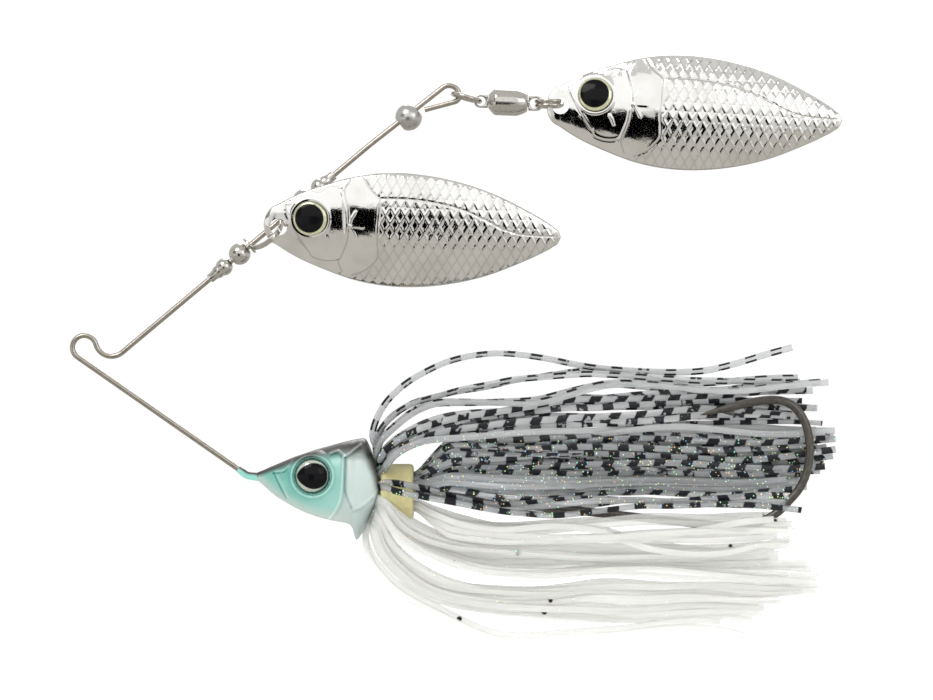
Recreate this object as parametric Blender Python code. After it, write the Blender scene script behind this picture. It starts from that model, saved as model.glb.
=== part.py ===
"""Twin willow-blade spinnerbait.

Frame: metres, +Z up, +X from the line tie towards the hook bend, +Y to the
far side. The origin is the centre of the R-bend, which is the line tie. The
wire form, the hook and the swivel chain lie in the plane Y = 0.
All dimensions below are millimetres and are scaled by MM when built.
"""

import math

import bmesh
import bpy
import numpy as np
from mathutils import Matrix, Vector

MM = 0.001

# ---------------------------------------------------------------- dimensions
WIRE_R = 0.405            # stainless wire, 0.81 mm
TIE_R = 1.80              # R-bend radius at the line tie
DIP_CENTRE = (4.14, 1.15)  # centre of the reverse bend behind the tie
LOWER_ARM_DEG = -34.86    # lower arm, falling to the head
UPPER_ARM_DEG = 39.97     # upper arm, rising to the rear blade
ARM_KINK = 53.0           # distance along the upper arm of its slight bend
ARM_END_DEG = 38.1        # upper arm past that bend
LOOP_X = 56.80            # rear side of the end loop
LOOP_R1, LOOP_R2 = 1.55, 0.95
TAIL_DEG = 194.9          # direction of the loop's cut tail
TAIL_END_X = 51.55

HEAD_NOSE = (26.3, -19.5)
WIRE_IN_HEAD_Z = -19.70
HOOK_EYE = (33.3, -19.70)
HOOK_EYE_R = 1.60
HOOK_R = 0.65
HEAD_EYE = (34.5, -19.5)
HEAD_EYE_R = 2.50
COLLAR_X = (45.5, 49.9)
COLLAR_Z = -21.85
COLLAR_R = 4.20
KEEPER_R = 2.60

STOP_R, BEAD_R, LOOP_BALL_R = 1.30, 1.65, 2.03
LOWER_STOP_AT, LOWER_BEAD_AT = 24.06, 27.12
CLEVIS_AT = (29.10, 35.20)
CLEVIS_DEPTH, CLEVIS_TILT_DEG = 5.2, 18.7
CLEVIS_W, CLEVIS_T = 0.80, 0.34
UPPER_BEAD_AT, UPPER_STOP_AT = 39.80, 42.90
LOOP_BALL_AT = (49.14, 34.86)

LINK_LEFT, LINK_RIGHT = (55.90, 38.40), (59.90, 37.27)
LINK_WIRE_R = 0.375
SWIVEL_AT, SWIVEL_DEG = (64.20, 37.12), -2.3
SPLIT_AT, SPLIT_R, SPLIT_WIRE_R, SPLIT_RISE = (70.45, 36.93), 1.95, 0.30, 0.33

BLADE_L, BLADE_W, BLADE_CROWN, BLADE_T = 44.9, 8.72, 2.2, 0.5
BLADE_HOLE_R = 1.30
FRONT_NOSE, FRONT_DEG, FRONT_Y = (27.29, 18.60), -2.6, -2.45
FRONT_ROLL = 12.0  # the hanging blade is tipped, its upper edge outwards
FRONT_HOLE = (2.30, -0.25)
FRONT_EYE_AT = (7.05, 1.41)
REAR_NOSE, REAR_DEG, REAR_Y = (70.02, 36.73), -3.1, 0.40
REAR_HOLE = (2.12, 0.0)
REAR_EYE_AT = (7.23, 1.93)
BLADE_EYE_R = 2.60

# half-width of the blade outline at fractions of its length
BLADE_OUTLINE = [
    (0.0, 0.0), (0.004, 1.05), (0.011, 1.75), (0.022, 2.45), (0.046, 3.10),
    (0.10, 4.50), (0.21, 6.55), (0.32, 8.05), (0.45, 8.72), (0.53, 8.60),
    (0.62, 8.05), (0.75, 6.50), (0.87, 4.15), (0.94, 2.50), (0.975, 1.50),
    (0.993, 0.75), (1.0, 0.0),
]
# head sections: x, top z, bottom z, half width
HEAD_SECTIONS = [
    (26.1, -18.95, -20.20, 0.62), (27.2, -18.59, -20.90, 1.20),
    (28.1, -18.14, -21.90, 1.85), (29.9, -17.38, -23.14, 2.80),
    (31.8, -16.62, -24.20, 3.50), (33.6, -16.02, -25.11, 4.05),
    (35.4, -15.41, -25.71, 4.45), (37.2, -14.95, -26.17, 4.70),
    (39.0, -14.35, -26.47, 4.90), (40.2, -14.10, -27.10, 4.95),
    (41.2, -13.95, -28.80, 4.95), (42.3, -13.80, -28.00, 4.85),
    (43.1, -14.80, -26.30, 4.60), (43.9, -16.56, -24.50, 4.10),
    (44.6, -18.80, -22.80, 2.90), (45.0, -20.60, -21.50, 1.20),
]
HEAD_EXPONENT = 2.15
# hook: centreline x, z from the eye to the point
HOOK_PATH = [
    (34.9, -19.90), (38.0, -20.60), (45.5, -21.50), (60.0, -23.10),
    (82.2, -25.55), (97.8, -27.20), (101.2, -26.90), (104.6, -25.30),
    (106.9, -23.10), (108.5, -21.10), (109.6, -18.30), (109.9, -14.80),
    (109.2, -11.40), (107.4, -8.90), (104.8, -7.95), (101.2, -8.30),
    (97.1, -9.30), (93.3, -10.25),
]
# skirt bundles: x, y, z, half height, half thickness; a sided bundle is made
# once on each side of the hook
SKIRT_SIDED = {
    "skirt_upper": [
        (44.8, 2.2, -16.1, 0.7, 0.5), (47.6, 3.3, -11.2, 1.3, 0.8),
        (54.0, 4.3, -7.8, 1.7, 1.0), (64.0, 4.9, -6.8, 1.8, 1.0),
        (80.0, 4.9, -7.0, 1.8, 1.0), (98.0, 4.8, -7.4, 1.6, 0.9),
        (113.9, 4.6, -6.6, 0.9, 0.5),
    ],
    "skirt_shoulder": [
        (45.2, 3.6, -16.9, 0.7, 0.5), (49.0, 5.2, -14.2, 1.3, 0.8),
        (57.0, 6.1, -12.8, 1.8, 1.0), (72.0, 6.2, -12.4, 1.9, 1.0),
        (94.0, 5.8, -12.6, 1.8, 0.9), (117.6, 5.4, -12.9, 0.9, 0.5),
    ],
    "skirt_side": [
        (45.4, 5.1, -20.4, 0.7, 0.5), (50.0, 6.5, -19.2, 1.4, 0.8),
        (60.0, 7.1, -18.4, 1.9, 1.0), (80.0, 7.0, -18.2, 1.9, 1.0),
        (98.0, 6.5, -18.6, 1.7, 0.9), (112.6, 6.0, -18.9, 0.9, 0.5),
    ],
    "skirt_flank": [
        (45.4, 5.0, -23.4, 0.7, 0.5), (50.0, 6.3, -24.6, 1.4, 0.8),
        (60.0, 6.8, -25.2, 1.9, 1.0), (80.0, 6.6, -26.2, 1.9, 1.0),
        (96.0, 6.2, -28.0, 1.6, 0.9), (107.0, 5.8, -29.6, 0.9, 0.5),
    ],
    "skirt_lower": [
        (45.0, 2.8, -27.2, 0.7, 0.5), (49.0, 4.2, -30.6, 1.3, 0.8),
        (58.0, 4.9, -33.4, 1.7, 1.0), (72.0, 5.1, -34.8, 1.8, 1.0),
        (90.0, 4.9, -35.0, 1.7, 0.9), (113.6, 4.4, -35.2, 0.9, 0.5),
    ],
}
SKIRT_CENTRE = {
    "skirt_stray_strand": [
        (44.4, -0.3, -15.0, 0.55, 0.4), (45.4, -0.6, -8.6, 0.55, 0.4),
        (50.7, -1.2, -4.2, 0.55, 0.4), (55.8, -1.4, -1.9, 0.55, 0.4),
        (62.2, -1.5, -0.9, 0.55, 0.4), (68.9, -1.5, -1.5, 0.55, 0.4),
        (76.8, -1.5, -3.0, 0.55, 0.4), (86.3, -1.5, -3.7, 0.55, 0.4),
        (93.3, -1.5, -3.6, 0.55, 0.4), (98.4, -1.5, -2.5, 0.55, 0.4),
        (107.0, -1.5, 0.05, 0.5, 0.4),
    ],
    "skirt_belly": [
        (44.9, 0.0, -29.2, 0.7, 0.7), (48.2, 0.0, -34.6, 1.3, 1.2),
        (58.0, 0.0, -39.0, 1.6, 1.5), (75.0, 0.0, -39.9, 1.6, 1.5),
        (92.0, 0.0, -39.4, 1.5, 1.3), (107.6, 0.0, -38.9, 0.8, 0.6),
    ],
    "skirt_lowest_strand": [
        (43.3, 0.0, -30.6, 0.55, 0.4), (44.2, 0.0, -33.2, 0.55, 0.4),
        (46.8, 0.0, -36.4, 0.55, 0.4), (54.6, 0.0, -41.3, 0.55, 0.4),
        (59.8, 0.0, -43.3, 0.55, 0.4), (63.7, 0.0, -44.3, 0.55, 0.4),
        (68.9, 0.0, -44.6, 0.55, 0.4), (81.0, 0.0, -43.4, 0.55, 0.4),
        (88.4, 0.0, -42.6, 0.55, 0.4), (95.4, 0.0, -42.6, 0.55, 0.4),
        (100.8, 0.0, -43.8, 0.5, 0.4),
    ],
}

# ------------------------------------------------------------------ scene
for old in list(bpy.data.objects):
    bpy.data.objects.remove(old, do_unlink=True)


def material(name, colour, metallic, roughness):
    made = bpy.data.materials.new(name)
    made.use_nodes = True
    shader = made.node_tree.nodes["Principled BSDF"]
    shader.inputs["Base Color"].default_value = (*colour, 1.0)
    shader.inputs["Metallic"].default_value = metallic
    shader.inputs["Roughness"].default_value = roughness
    return made


STEEL = material("stainless wire", (0.62, 0.60, 0.56), 1.0, 0.28)
NICKEL = material("nickel plate", (0.78, 0.77, 0.75), 1.0, 0.12)
CHROME = material("blade plate", (0.86, 0.86, 0.86), 1.0, 0.08)
BLACK_NICKEL = material("hook plate", (0.10, 0.10, 0.11), 0.9, 0.35)
PAINT = material("head paint", (0.36, 0.72, 0.66), 0.0, 0.22)
EYE = material("eye sticker", (0.05, 0.05, 0.04), 0.0, 0.08)
COLLAR = material("collar rubber", (0.62, 0.60, 0.28), 0.0, 0.45)
SILICONE = material("silicone", (0.72, 0.75, 0.74), 0.0, 0.40)
BARRED = material("barred silicone", (0.33, 0.37, 0.40), 0.0, 0.40)


# ------------------------------------------------------------------ helpers
def finish(name, bm, look, location=(0, 0, 0), turn=0.0, roll=0.0):
    """Closes a bmesh into a named object. turn rotates +X towards +Z, roll tips it about its own length first."""
    bmesh.ops.recalc_face_normals(bm, faces=bm.faces)
    mesh = bpy.data.meshes.new(name)
    bm.to_mesh(mesh)
    bm.free()
    mesh.shade_smooth()
    mesh.set_sharp_from_angle(angle=math.radians(40))
    mesh.materials.append(look)
    made = bpy.data.objects.new(name, mesh)
    made.location = Vector(location) * MM
    made.rotation_euler = (math.radians(roll), -math.radians(turn), 0.0)
    bpy.context.scene.collection.objects.link(made)
    return made


def loft(rings, closed=False):
    """A solid through rings of points, all of the same count, in mm."""
    bm = bmesh.new()
    rows = [[bm.verts.new(Vector(p) * MM) for p in ring] for ring in rings]
    n = len(rows[0])
    pairs = list(zip(rows, rows[1:]))
    if closed:
        pairs.append((rows[-1], rows[0]))
    for a, b in pairs:
        for i in range(n):
            j = (i + 1) % n
            bm.faces.new((a[i], a[j], b[j], b[i]))
    if not closed:
        bm.faces.new(rows[0])
        bm.faces.new(rows[-1])
    return bm


def frames(points):
    """Tangent and two normals at each point, carried along without twist."""
    pts = [Vector(p) for p in points]
    tangents = []
    for i in range(len(pts)):
        a, b = pts[max(i - 1, 0)], pts[min(i + 1, len(pts) - 1)]
        tangents.append((b - a).normalized())
    up = Vector((0, 0, 1))
    if abs(tangents[0].dot(up)) > 0.9:
        up = Vector((0, 1, 0))
    found = []
    for p, t in zip(pts, tangents):
        up = (up - t * up.dot(t)).normalized()
        found.append((p, t, up, t.cross(up)))
    return found


def sweep(points, sizes, sides=8):
    """A tube along points; each size is (half height, half thickness)."""
    rings = []
    for (p, _, up, side), (a, b) in zip(frames(points), sizes):
        rings.append([
            p + up * (a * math.cos(2 * math.pi * k / sides))
            + side * (b * math.sin(2 * math.pi * k / sides))
            for k in range(sides)
        ])
    return loft(rings)


def tube(points, radius, sides=8):
    return sweep(points, [(radius, radius)] * len(points), sides)


def turned(profile, sides=16):
    """Turns a closed profile of (along, radius) pairs about local +X."""
    rings = []
    for k in range(sides):
        c, s = math.cos(2 * math.pi * k / sides), math.sin(2 * math.pi * k / sides)
        rings.append([(x, r * c, r * s) for x, r in profile])
    return loft(rings, closed=True)


def arc(centre, radius, start, end, steps):
    """Points in the XZ plane; angles in degrees."""
    return [
        (centre[0] + radius * math.cos(math.radians(a)), 0.0,
         centre[1] + radius * math.sin(math.radians(a)))
        for a in np.linspace(start, end, steps)
    ]


def spline(points, per_span=3):
    """Catmull-Rom curve through points of any dimension."""
    p = [np.array(q, float) for q in points]
    p = [2 * p[0] - p[1], *p, 2 * p[-1] - p[-2]]
    out = []
    for a, b, c, d in zip(p, p[1:], p[2:], p[3:]):
        for k in range(per_span):
            t = k / per_span
            out.append(0.5 * (2 * b + (c - a) * t + (2 * a - 5 * b + 4 * c - d) * t**2
                              + (3 * b - a - 3 * c + d) * t**3))
    out.append(p[-2])
    return out


def smooth(table, x):
    """Cubic through a table of (x, y) pairs."""
    xs, ys = [q[0] for q in table], [q[1] for q in table]
    slopes = np.gradient(ys, xs)
    i = min(max(int(np.searchsorted(xs, x)) - 1, 0), len(xs) - 2)
    h = xs[i + 1] - xs[i]
    t = (x - xs[i]) / h
    return float(
        (2 * t**3 - 3 * t**2 + 1) * ys[i] + (t**3 - 2 * t**2 + t) * h * slopes[i]
        + (3 * t**2 - 2 * t**3) * ys[i + 1] + (t**3 - t**2) * h * slopes[i + 1]
    )


def ball(radius, bore=0.0, rings=10):
    """Profile of a sphere with a bore, for turned()."""
    half = math.sqrt(radius**2 - bore**2)
    first = math.asin(bore / radius)
    outer = [
        (-radius * math.cos(a), radius * math.sin(a))
        for a in np.linspace(first, math.pi - first, rings)
    ]
    return outer + [(half * 0.5, bore - 0.0), (-half * 0.5, bore - 0.0)]


def cutter(name, bm, location=(0, 0, 0), turn=0.0, roll=0.0):
    made = finish(name, bm, STEEL, location, turn, roll)
    made.hide_render = True
    made.hide_viewport = False
    made.display_type = "WIRE"
    return made


def boolean(target, tool, operation):
    step = target.modifiers.new(tool.name, "BOOLEAN")
    step.object = tool
    step.operation = operation
    step.solver = "EXACT"


def rod(x0, x1, radius, sides=16):
    """A plain cylinder along local +X."""
    ring = lambda x: [
        (x, radius * math.cos(2 * math.pi * k / sides), radius * math.sin(2 * math.pi * k / sides))
        for k in range(sides)
    ]
    return loft([ring(x0), ring(x1)])


def cross_rod(centre, y0, y1, radius, sides=16):
    """A plain cylinder along Y."""
    ring = lambda y: [
        (centre[0] + radius * math.cos(2 * math.pi * k / sides), y,
         centre[1] + radius * math.sin(2 * math.pi * k / sides))
        for k in range(sides)
    ]
    return loft([ring(y0), ring(y1)])


# ------------------------------------------------------------------ wire form
low = math.radians(LOWER_ARM_DEG)
high = math.radians(UPPER_ARM_DEG)
D = Vector((math.cos(high), 0.0, math.sin(high)))      # along the upper arm
DOWN = Vector((D.z, 0.0, -D.x))                        # square to it, below
dip_r = math.hypot(*DIP_CENTRE) - TIE_R
touch = math.degrees(math.atan2(DIP_CENTRE[1], DIP_CENTRE[0]))
tie = arc((0, 0), TIE_R, LOWER_ARM_DEG + 270, touch, 17)
dip = arc(DIP_CENTRE, dip_r, touch + 180, UPPER_ARM_DEG + 270, 10)
ARM_0 = Vector(dip[-1])
ARM_0_AT = ARM_0.dot(D)


def on_arm(at):
    """The point of the upper arm at a distance along it."""
    return ARM_0 + D * (at - ARM_0_AT)


tail = math.radians(TAIL_DEG)
kink = on_arm(ARM_KINK)
rise = math.radians(ARM_END_DEG)
turn1 = 90 + ARM_END_DEG
corner1_z = kink.z + (LOOP_X - kink.x) * math.tan(rise)
run1 = LOOP_R1 * math.tan(math.radians(turn1 / 2))
loop1_centre = (LOOP_X - LOOP_R1, corner1_z - run1)
loop2_centre = (LOOP_X - LOOP_R2, loop1_centre[1])
loop = arc(loop1_centre, LOOP_R1, 90 + ARM_END_DEG, 0, 12)
loop += arc(loop2_centre, LOOP_R2, 0, TAIL_DEG - 270, 8)[1:]
end = Vector(loop[-1])
tail_end = end + Vector((math.cos(tail), 0, math.sin(tail))) * (
    (TAIL_END_X - end.x) / math.cos(tail))

arm_line = lambda x: (x, 0.0, tie[0][2] + (x - tie[0][0]) * math.tan(low))
inside = spline([
    (HOOK_EYE[0], 1.45, HOOK_EYE[1]), (HOOK_EYE[0], 0.3, HOOK_EYE[1]),
    (HOOK_EYE[0] - 0.35, -1.05, HOOK_EYE[1]), (HOOK_EYE[0] - 1.8, -1.50, HOOK_EYE[1]),
    (HOOK_EYE[0] - 3.6, -0.95, WIRE_IN_HEAD_Z), (HOOK_EYE[0] - 5.0, -0.2, WIRE_IN_HEAD_Z),
    (27.0, 0.0, WIRE_IN_HEAD_Z), (25.9, 0.0, WIRE_IN_HEAD_Z + 0.02), arm_line(24.6), arm_line(23.4),
], 3)
wire_path = (
    [tuple(p) for p in inside] + [arm_line(12.0)] + tie + dip[1:]
    + [tuple(on_arm(20.0)), tuple(on_arm(ARM_KINK - 1.0)), tuple(kink + Vector((1.0, 0, math.tan(rise))))]
    + loop + [tuple(tail_end)]
)
finish("wire_frame", tube(wire_path, WIRE_R, 8), STEEL)

# ------------------------------------------------------------------ lead head
def section(x, top, bottom, half, count=16):
    ring = []
    for k in range(count):
        a = 2 * math.pi * k / count
        c, s = math.cos(a), math.sin(a)
        e = 2 / HEAD_EXPONENT
        ring.append((
            x, half * math.copysign(abs(s) ** e, s),
            (top + bottom) / 2 + (top - bottom) / 2 * math.copysign(abs(c) ** e, c),
        ))
    return ring


head = finish("head_casting", loft([section(*s) for s in HEAD_SECTIONS]), PAINT)
keeper = cutter("keeper_form", turned([
    (-5.0, 0.5), (-5.0, KEEPER_R), (3.6, KEEPER_R), (4.1, KEEPER_R + 0.28),
    (4.9, KEEPER_R - 0.5), (4.9, 0.5),
], 16), (45.0, 0, COLLAR_Z))
boolean(head, keeper, "UNION")
sleeve_line = spline([arm_line(23.6), arm_line(24.6), (25.9, 0, WIRE_IN_HEAD_Z + 0.02),
                      (27.6, 0, WIRE_IN_HEAD_Z)], 3)
boolean(head, cutter("sleeve_form", tube(sleeve_line, 0.84, 10)), "UNION")
channel = spline([arm_line(22.4), arm_line(24.6), (25.9, 0, WIRE_IN_HEAD_Z + 0.02), (27.0, 0, WIRE_IN_HEAD_Z),
                  (HOOK_EYE[0] - 5.0, -0.2, WIRE_IN_HEAD_Z), (HOOK_EYE[0] - 3.6, -0.95, WIRE_IN_HEAD_Z),
                  (HOOK_EYE[0] - 1.9, -1.2, WIRE_IN_HEAD_Z)], 3)
boolean(head, cutter("wire_channel", tube(channel, 0.62, 10)), "DIFFERENCE")
boolean(head, cutter("hook_eye_pocket", cross_rod(HOOK_EYE, -2.3, 2.05, 2.75, 20)), "DIFFERENCE")
hook_line = spline([(p[0], 0.0, p[1]) for p in HOOK_PATH[:4]], 4)
boolean(head, cutter("hook_channel", tube(hook_line, HOOK_R + 0.3, 10)), "DIFFERENCE")

# eye seats on both cheeks, and the domed stickers in them
EYE_SEAT_Y = 3.45


def domed_eye(name, centre, y_back, y_front, radius, sign):
    """A sticker with a domed front, back flat at y_back, crown at y_front."""
    rings = []
    for r, f in ((radius, 0.0), (radius, 0.35), (radius * 0.82, 0.66), (radius * 0.55, 0.87), (radius * 0.22, 0.98)):
        y = y_back + (y_front - y_back) * f
        rings.append([
            (centre[0] + r * math.cos(2 * math.pi * k / 20), sign * y, centre[1] + r * math.sin(2 * math.pi * k / 20))
            for k in range(20)
        ])
    return finish(name, loft(rings), EYE)


for side, sign in (("left", -1.0), ("right", 1.0)):
    seat = cross_rod(HEAD_EYE, sign * EYE_SEAT_Y, sign * 7.0, HEAD_EYE_R + 0.3, 20)
    boolean(head, cutter(f"eye_seat_{side}", seat), "DIFFERENCE")
    domed_eye(f"head_eye_{side}", HEAD_EYE, EYE_SEAT_Y + 0.25, 5.05, HEAD_EYE_R, sign)

# ------------------------------------------------------------------ hook
eye_ring = [
    [(HOOK_EYE[0] + (HOOK_EYE_R + 0.55 * math.cos(b)) * math.cos(a), 0.55 * math.sin(b),
      HOOK_EYE[1] + (HOOK_EYE_R + 0.55 * math.cos(b)) * math.sin(a))
     for b in (2 * math.pi * j / 8 for j in range(8))]
    for a in (2 * math.pi * i / 20 for i in range(20))
]
bend = spline([(p[0], 0.0, p[1]) for p in HOOK_PATH], 2)
sizes = []
for i, p in enumerate(bend):
    left = len(bend) - 1 - i
    r = HOOK_R if left > 3 else (0.06, 0.34, 0.54, 0.62)[left]
    sizes.append((r, r))
hook = finish("hook", sweep(bend, sizes, 8), BLACK_NICKEL)
boolean(hook, cutter("hook_eye_form", loft(eye_ring, closed=True)), "UNION")
boolean(hook, cutter("hook_barb_form", loft([
    [(96.2, -0.18, -9.30), (96.2, 0.18, -9.30), (96.2, 0.18, -9.70), (96.2, -0.18, -9.70)],
    [(98.6, -0.12, -9.60), (98.6, 0.12, -9.60), (98.6, 0.12, -10.30), (98.6, -0.12, -10.30)],
])), "UNION")

# ------------------------------------------------------------------ skirt
x0, x1 = COLLAR_X
finish("skirt_collar", turned([
    (x0, KEEPER_R + 0.75), (x0 + 0.5, COLLAR_R - 0.1), (x0 + 1.0, COLLAR_R), (x1 - 0.8, COLLAR_R),
    (x1, COLLAR_R - 0.4), (x1, KEEPER_R + 0.65),
], 24), COLLAR, (0, 0, COLLAR_Z))


def bundle(name, stations, sign, look):
    run = spline(stations, 2)
    points = [(p[0], sign * p[1], p[2]) for p in run]
    finish(name, sweep(points, [(p[3], p[4]) for p in run], 6), look)


for name, stations in SKIRT_SIDED.items():
    look = SILICONE if name == "skirt_lower" else BARRED
    bundle(name + "_left", stations, -1.0, look)
    bundle(name + "_right", stations, 1.0, look)
for name, stations in SKIRT_CENTRE.items():
    bundle(name, stations, 1.0, BARRED if "stray" in name else SILICONE)

# ------------------------------------------------------------------ arm pieces
BORE = WIRE_R + 0.19


def stop(name, at, sign):
    """A crimped stop: ball, cone and thin sleeve pointing away from the clevis."""
    ring = [p for p in ball(STOP_R, BORE, 9)[:-2] if p[0] * sign > -STOP_R * 0.60]
    tail_part = [(-sign * 1.55, 0.80), (-sign * 1.90, 0.70), (-sign * 2.85, 0.68), (-sign * 2.85, BORE)]
    front = ring if sign > 0 else ring[::-1]
    profile = tail_part[::-1] + front
    finish(name, turned(profile, 14), NICKEL, on_arm(at), UPPER_ARM_DEG)


stop("lower_stop", LOWER_STOP_AT, 1.0)
stop("upper_stop", UPPER_STOP_AT, -1.0)


def bead_profile(radius, bore, recess, rings=8):
    """A ball with a bore that opens into a small counterbore at each end."""
    first = math.asin(recess / radius)
    outer = [(-radius * math.cos(a), radius * math.sin(a)) for a in np.linspace(first, math.pi - first, rings)]
    x = outer[-1][0]
    return outer + [(x - 0.35, bore), (-x + 0.35, bore)]


finish("lower_bead", turned(bead_profile(BEAD_R, BORE, 0.85), 16), NICKEL, on_arm(LOWER_BEAD_AT), UPPER_ARM_DEG)
finish("upper_bead", turned(bead_profile(BEAD_R, BORE, 0.85), 16), NICKEL, on_arm(UPPER_BEAD_AT), UPPER_ARM_DEG)
finish("loop_ball", turned(bead_profile(LOOP_BALL_R, 0.95, 1.15, 11), 18), NICKEL,
       (LOOP_BALL_AT[0], 0, LOOP_BALL_AT[1]), ARM_END_DEG)

# ------------------------------------------------------------------ clevis
tilt = math.radians(CLEVIS_TILT_DEG)
REACH = Vector((0, -1, 0)) * math.cos(tilt) + DOWN * math.sin(tilt)
half = (CLEVIS_AT[1] - CLEVIS_AT[0]) / 2
mid = (CLEVIS_AT[1] + CLEVIS_AT[0]) / 2
WIDE = D.cross(REACH).normalized()
rings = []
for k in range(21):
    a = math.pi * k / 20
    p = on_arm(mid - half * math.cos(a)) + REACH * (CLEVIS_DEPTH * math.sin(a))
    t = (D * (half * math.sin(a)) + REACH * (CLEVIS_DEPTH * math.cos(a))).normalized()
    n = t.cross(WIDE)
    rings.append([
        p + WIDE * (CLEVIS_W / 2 * u) + n * (CLEVIS_T / 2 * v)
        for u, v in ((-1, -1), (1, -1), (1, 1), (-1, 1))
    ])
clevis = finish("clevis", loft(rings), NICKEL)
for tag, at in (("front", CLEVIS_AT[0]), ("rear", CLEVIS_AT[1])):
    boolean(clevis, cutter(f"clevis_ear_{tag}", rod(-0.19, 0.19, 1.38, 18), on_arm(at), UPPER_ARM_DEG), "UNION")
boolean(clevis, cutter("clevis_bore", rod(-5, 5, BORE, 14), on_arm(mid), UPPER_ARM_DEG), "DIFFERENCE")

# ------------------------------------------------------------------ chain
left, right = Vector((LINK_LEFT[0], 0, LINK_LEFT[1])), Vector((LINK_RIGHT[0], 0, LINK_RIGHT[1]))
link_r = (right - left).length / 2
along = (right - left).normalized()
across = Vector((0, 1, 0))
normal = along.cross(across)
ring_rows = []
for i in range(20):
    a = 2 * math.pi * i / 20
    out = along * math.cos(a) + across * math.sin(a)
    ring_rows.append([
        (left + right) / 2 + out * (link_r + LINK_WIRE_R * math.cos(b)) + normal * (LINK_WIRE_R * math.sin(b))
        for b in (2 * math.pi * j / 8 for j in range(8))
    ])
finish("link_ring", loft(ring_rows, closed=True), NICKEL)


def eye_plate(x_flat, x_round, half_z, thick, count=10):
    """Flat tongue in the XZ plane with a rounded end at x_round."""
    sign = 1.0 if x_round > x_flat else -1.0
    edge = [(x_flat, -half_z)]
    for k in range(count + 1):
        a = -math.pi / 2 + math.pi * k / count
        edge.append((x_round - sign * half_z + sign * half_z * math.cos(a), half_z * math.sin(a)))
    edge.append((x_flat, half_z))
    return loft([[(x, y, z) for x, z in edge] for y in (-thick / 2, thick / 2)])


SWIVEL = (SWIVEL_AT[0], 0, SWIVEL_AT[1])
# stations along the swivel's own axis, from its middle
finish("swivel_barrel", turned([
    (-2.97, 1.05), (-2.10, 2.00), (-1.95, 2.03), (1.20, 2.03), (1.65, 1.93), (2.25, 1.68),
    (2.95, 1.30), (2.95, 0.85), (1.70, 0.85), (1.70, 1.66), (-1.60, 1.66), (-1.60, 0.82), (-2.97, 0.82),
], 20), NICKEL, SWIVEL, SWIVEL_DEG)
front_eye = finish("swivel_front_eye", eye_plate(-3.05, -5.20, 0.98, 0.60), NICKEL, SWIVEL, SWIVEL_DEG)
boolean(front_eye, cutter("front_eye_shank", turned([
    (-3.40, 0.02), (-3.40, 0.58), (-1.30, 0.58), (-1.30, 1.15), (-0.75, 1.15), (-0.60, 0.95), (-0.60, 0.02),
], 14), SWIVEL, SWIVEL_DEG), "UNION")
boolean(front_eye, cutter("front_eye_hole", cross_rod((-4.13, 0), -1, 1, 0.72, 16), SWIVEL, SWIVEL_DEG), "DIFFERENCE")
rear_eye = finish("swivel_rear_eye", eye_plate(3.10, 5.38, 1.12, 0.60), NICKEL, SWIVEL, SWIVEL_DEG)
boolean(rear_eye, cutter("rear_eye_shank", turned([
    (3.40, 0.02), (3.40, 0.58), (0.62, 0.58), (0.62, 1.15), (0.10, 1.15), (-0.05, 0.95), (-0.05, 0.02),
], 14), SWIVEL, SWIVEL_DEG), "UNION")
boolean(rear_eye, cutter("rear_eye_hole", cross_rod((3.92, 0), -1, 1, 0.90, 18), SWIVEL, SWIVEL_DEG), "DIFFERENCE")
for k in range(6):
    a = math.radians(60 * k + 30)
    c, s = math.cos(math.radians(SWIVEL_DEG)), math.sin(math.radians(SWIVEL_DEG))
    x, y, z = 1.16, 1.12 * math.cos(a), 1.12 * math.sin(a)
    bm = bmesh.new()
    bmesh.ops.create_uvsphere(bm, u_segments=8, v_segments=6, radius=0.36 * MM)
    finish(f"bearing_ball_{k + 1}", bm, STEEL,
           (SWIVEL[0] + x * c - z * s, y, SWIVEL[2] + x * s + z * c))

split = []
for a in np.linspace(35, 685, 46):
    lift = max(-1.0, min(1.0, (a - 360) / 30))
    lift = math.sin(lift * math.pi / 2)
    split.append((SPLIT_AT[0] + SPLIT_R * math.cos(math.radians(a)), SPLIT_R * math.sin(math.radians(a)),
                  SPLIT_AT[1] + SPLIT_RISE * lift))
finish("split_ring", tube(split, SPLIT_WIRE_R, 6), NICKEL)


# ------------------------------------------------------------------ blades
def blade_y(u, w):
    """Height of the cupped sheet's middle at u along and w across (mm)."""
    s = min(max(u / BLADE_L, 0.0), 1.0)
    edge = max(smooth(BLADE_OUTLINE, s), 0.02)
    depth = BLADE_CROWN * (min(edge, BLADE_W) / BLADE_W) ** 1.3
    return -depth * (1 - min(abs(w) / edge, 1.0) ** 2)


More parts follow.
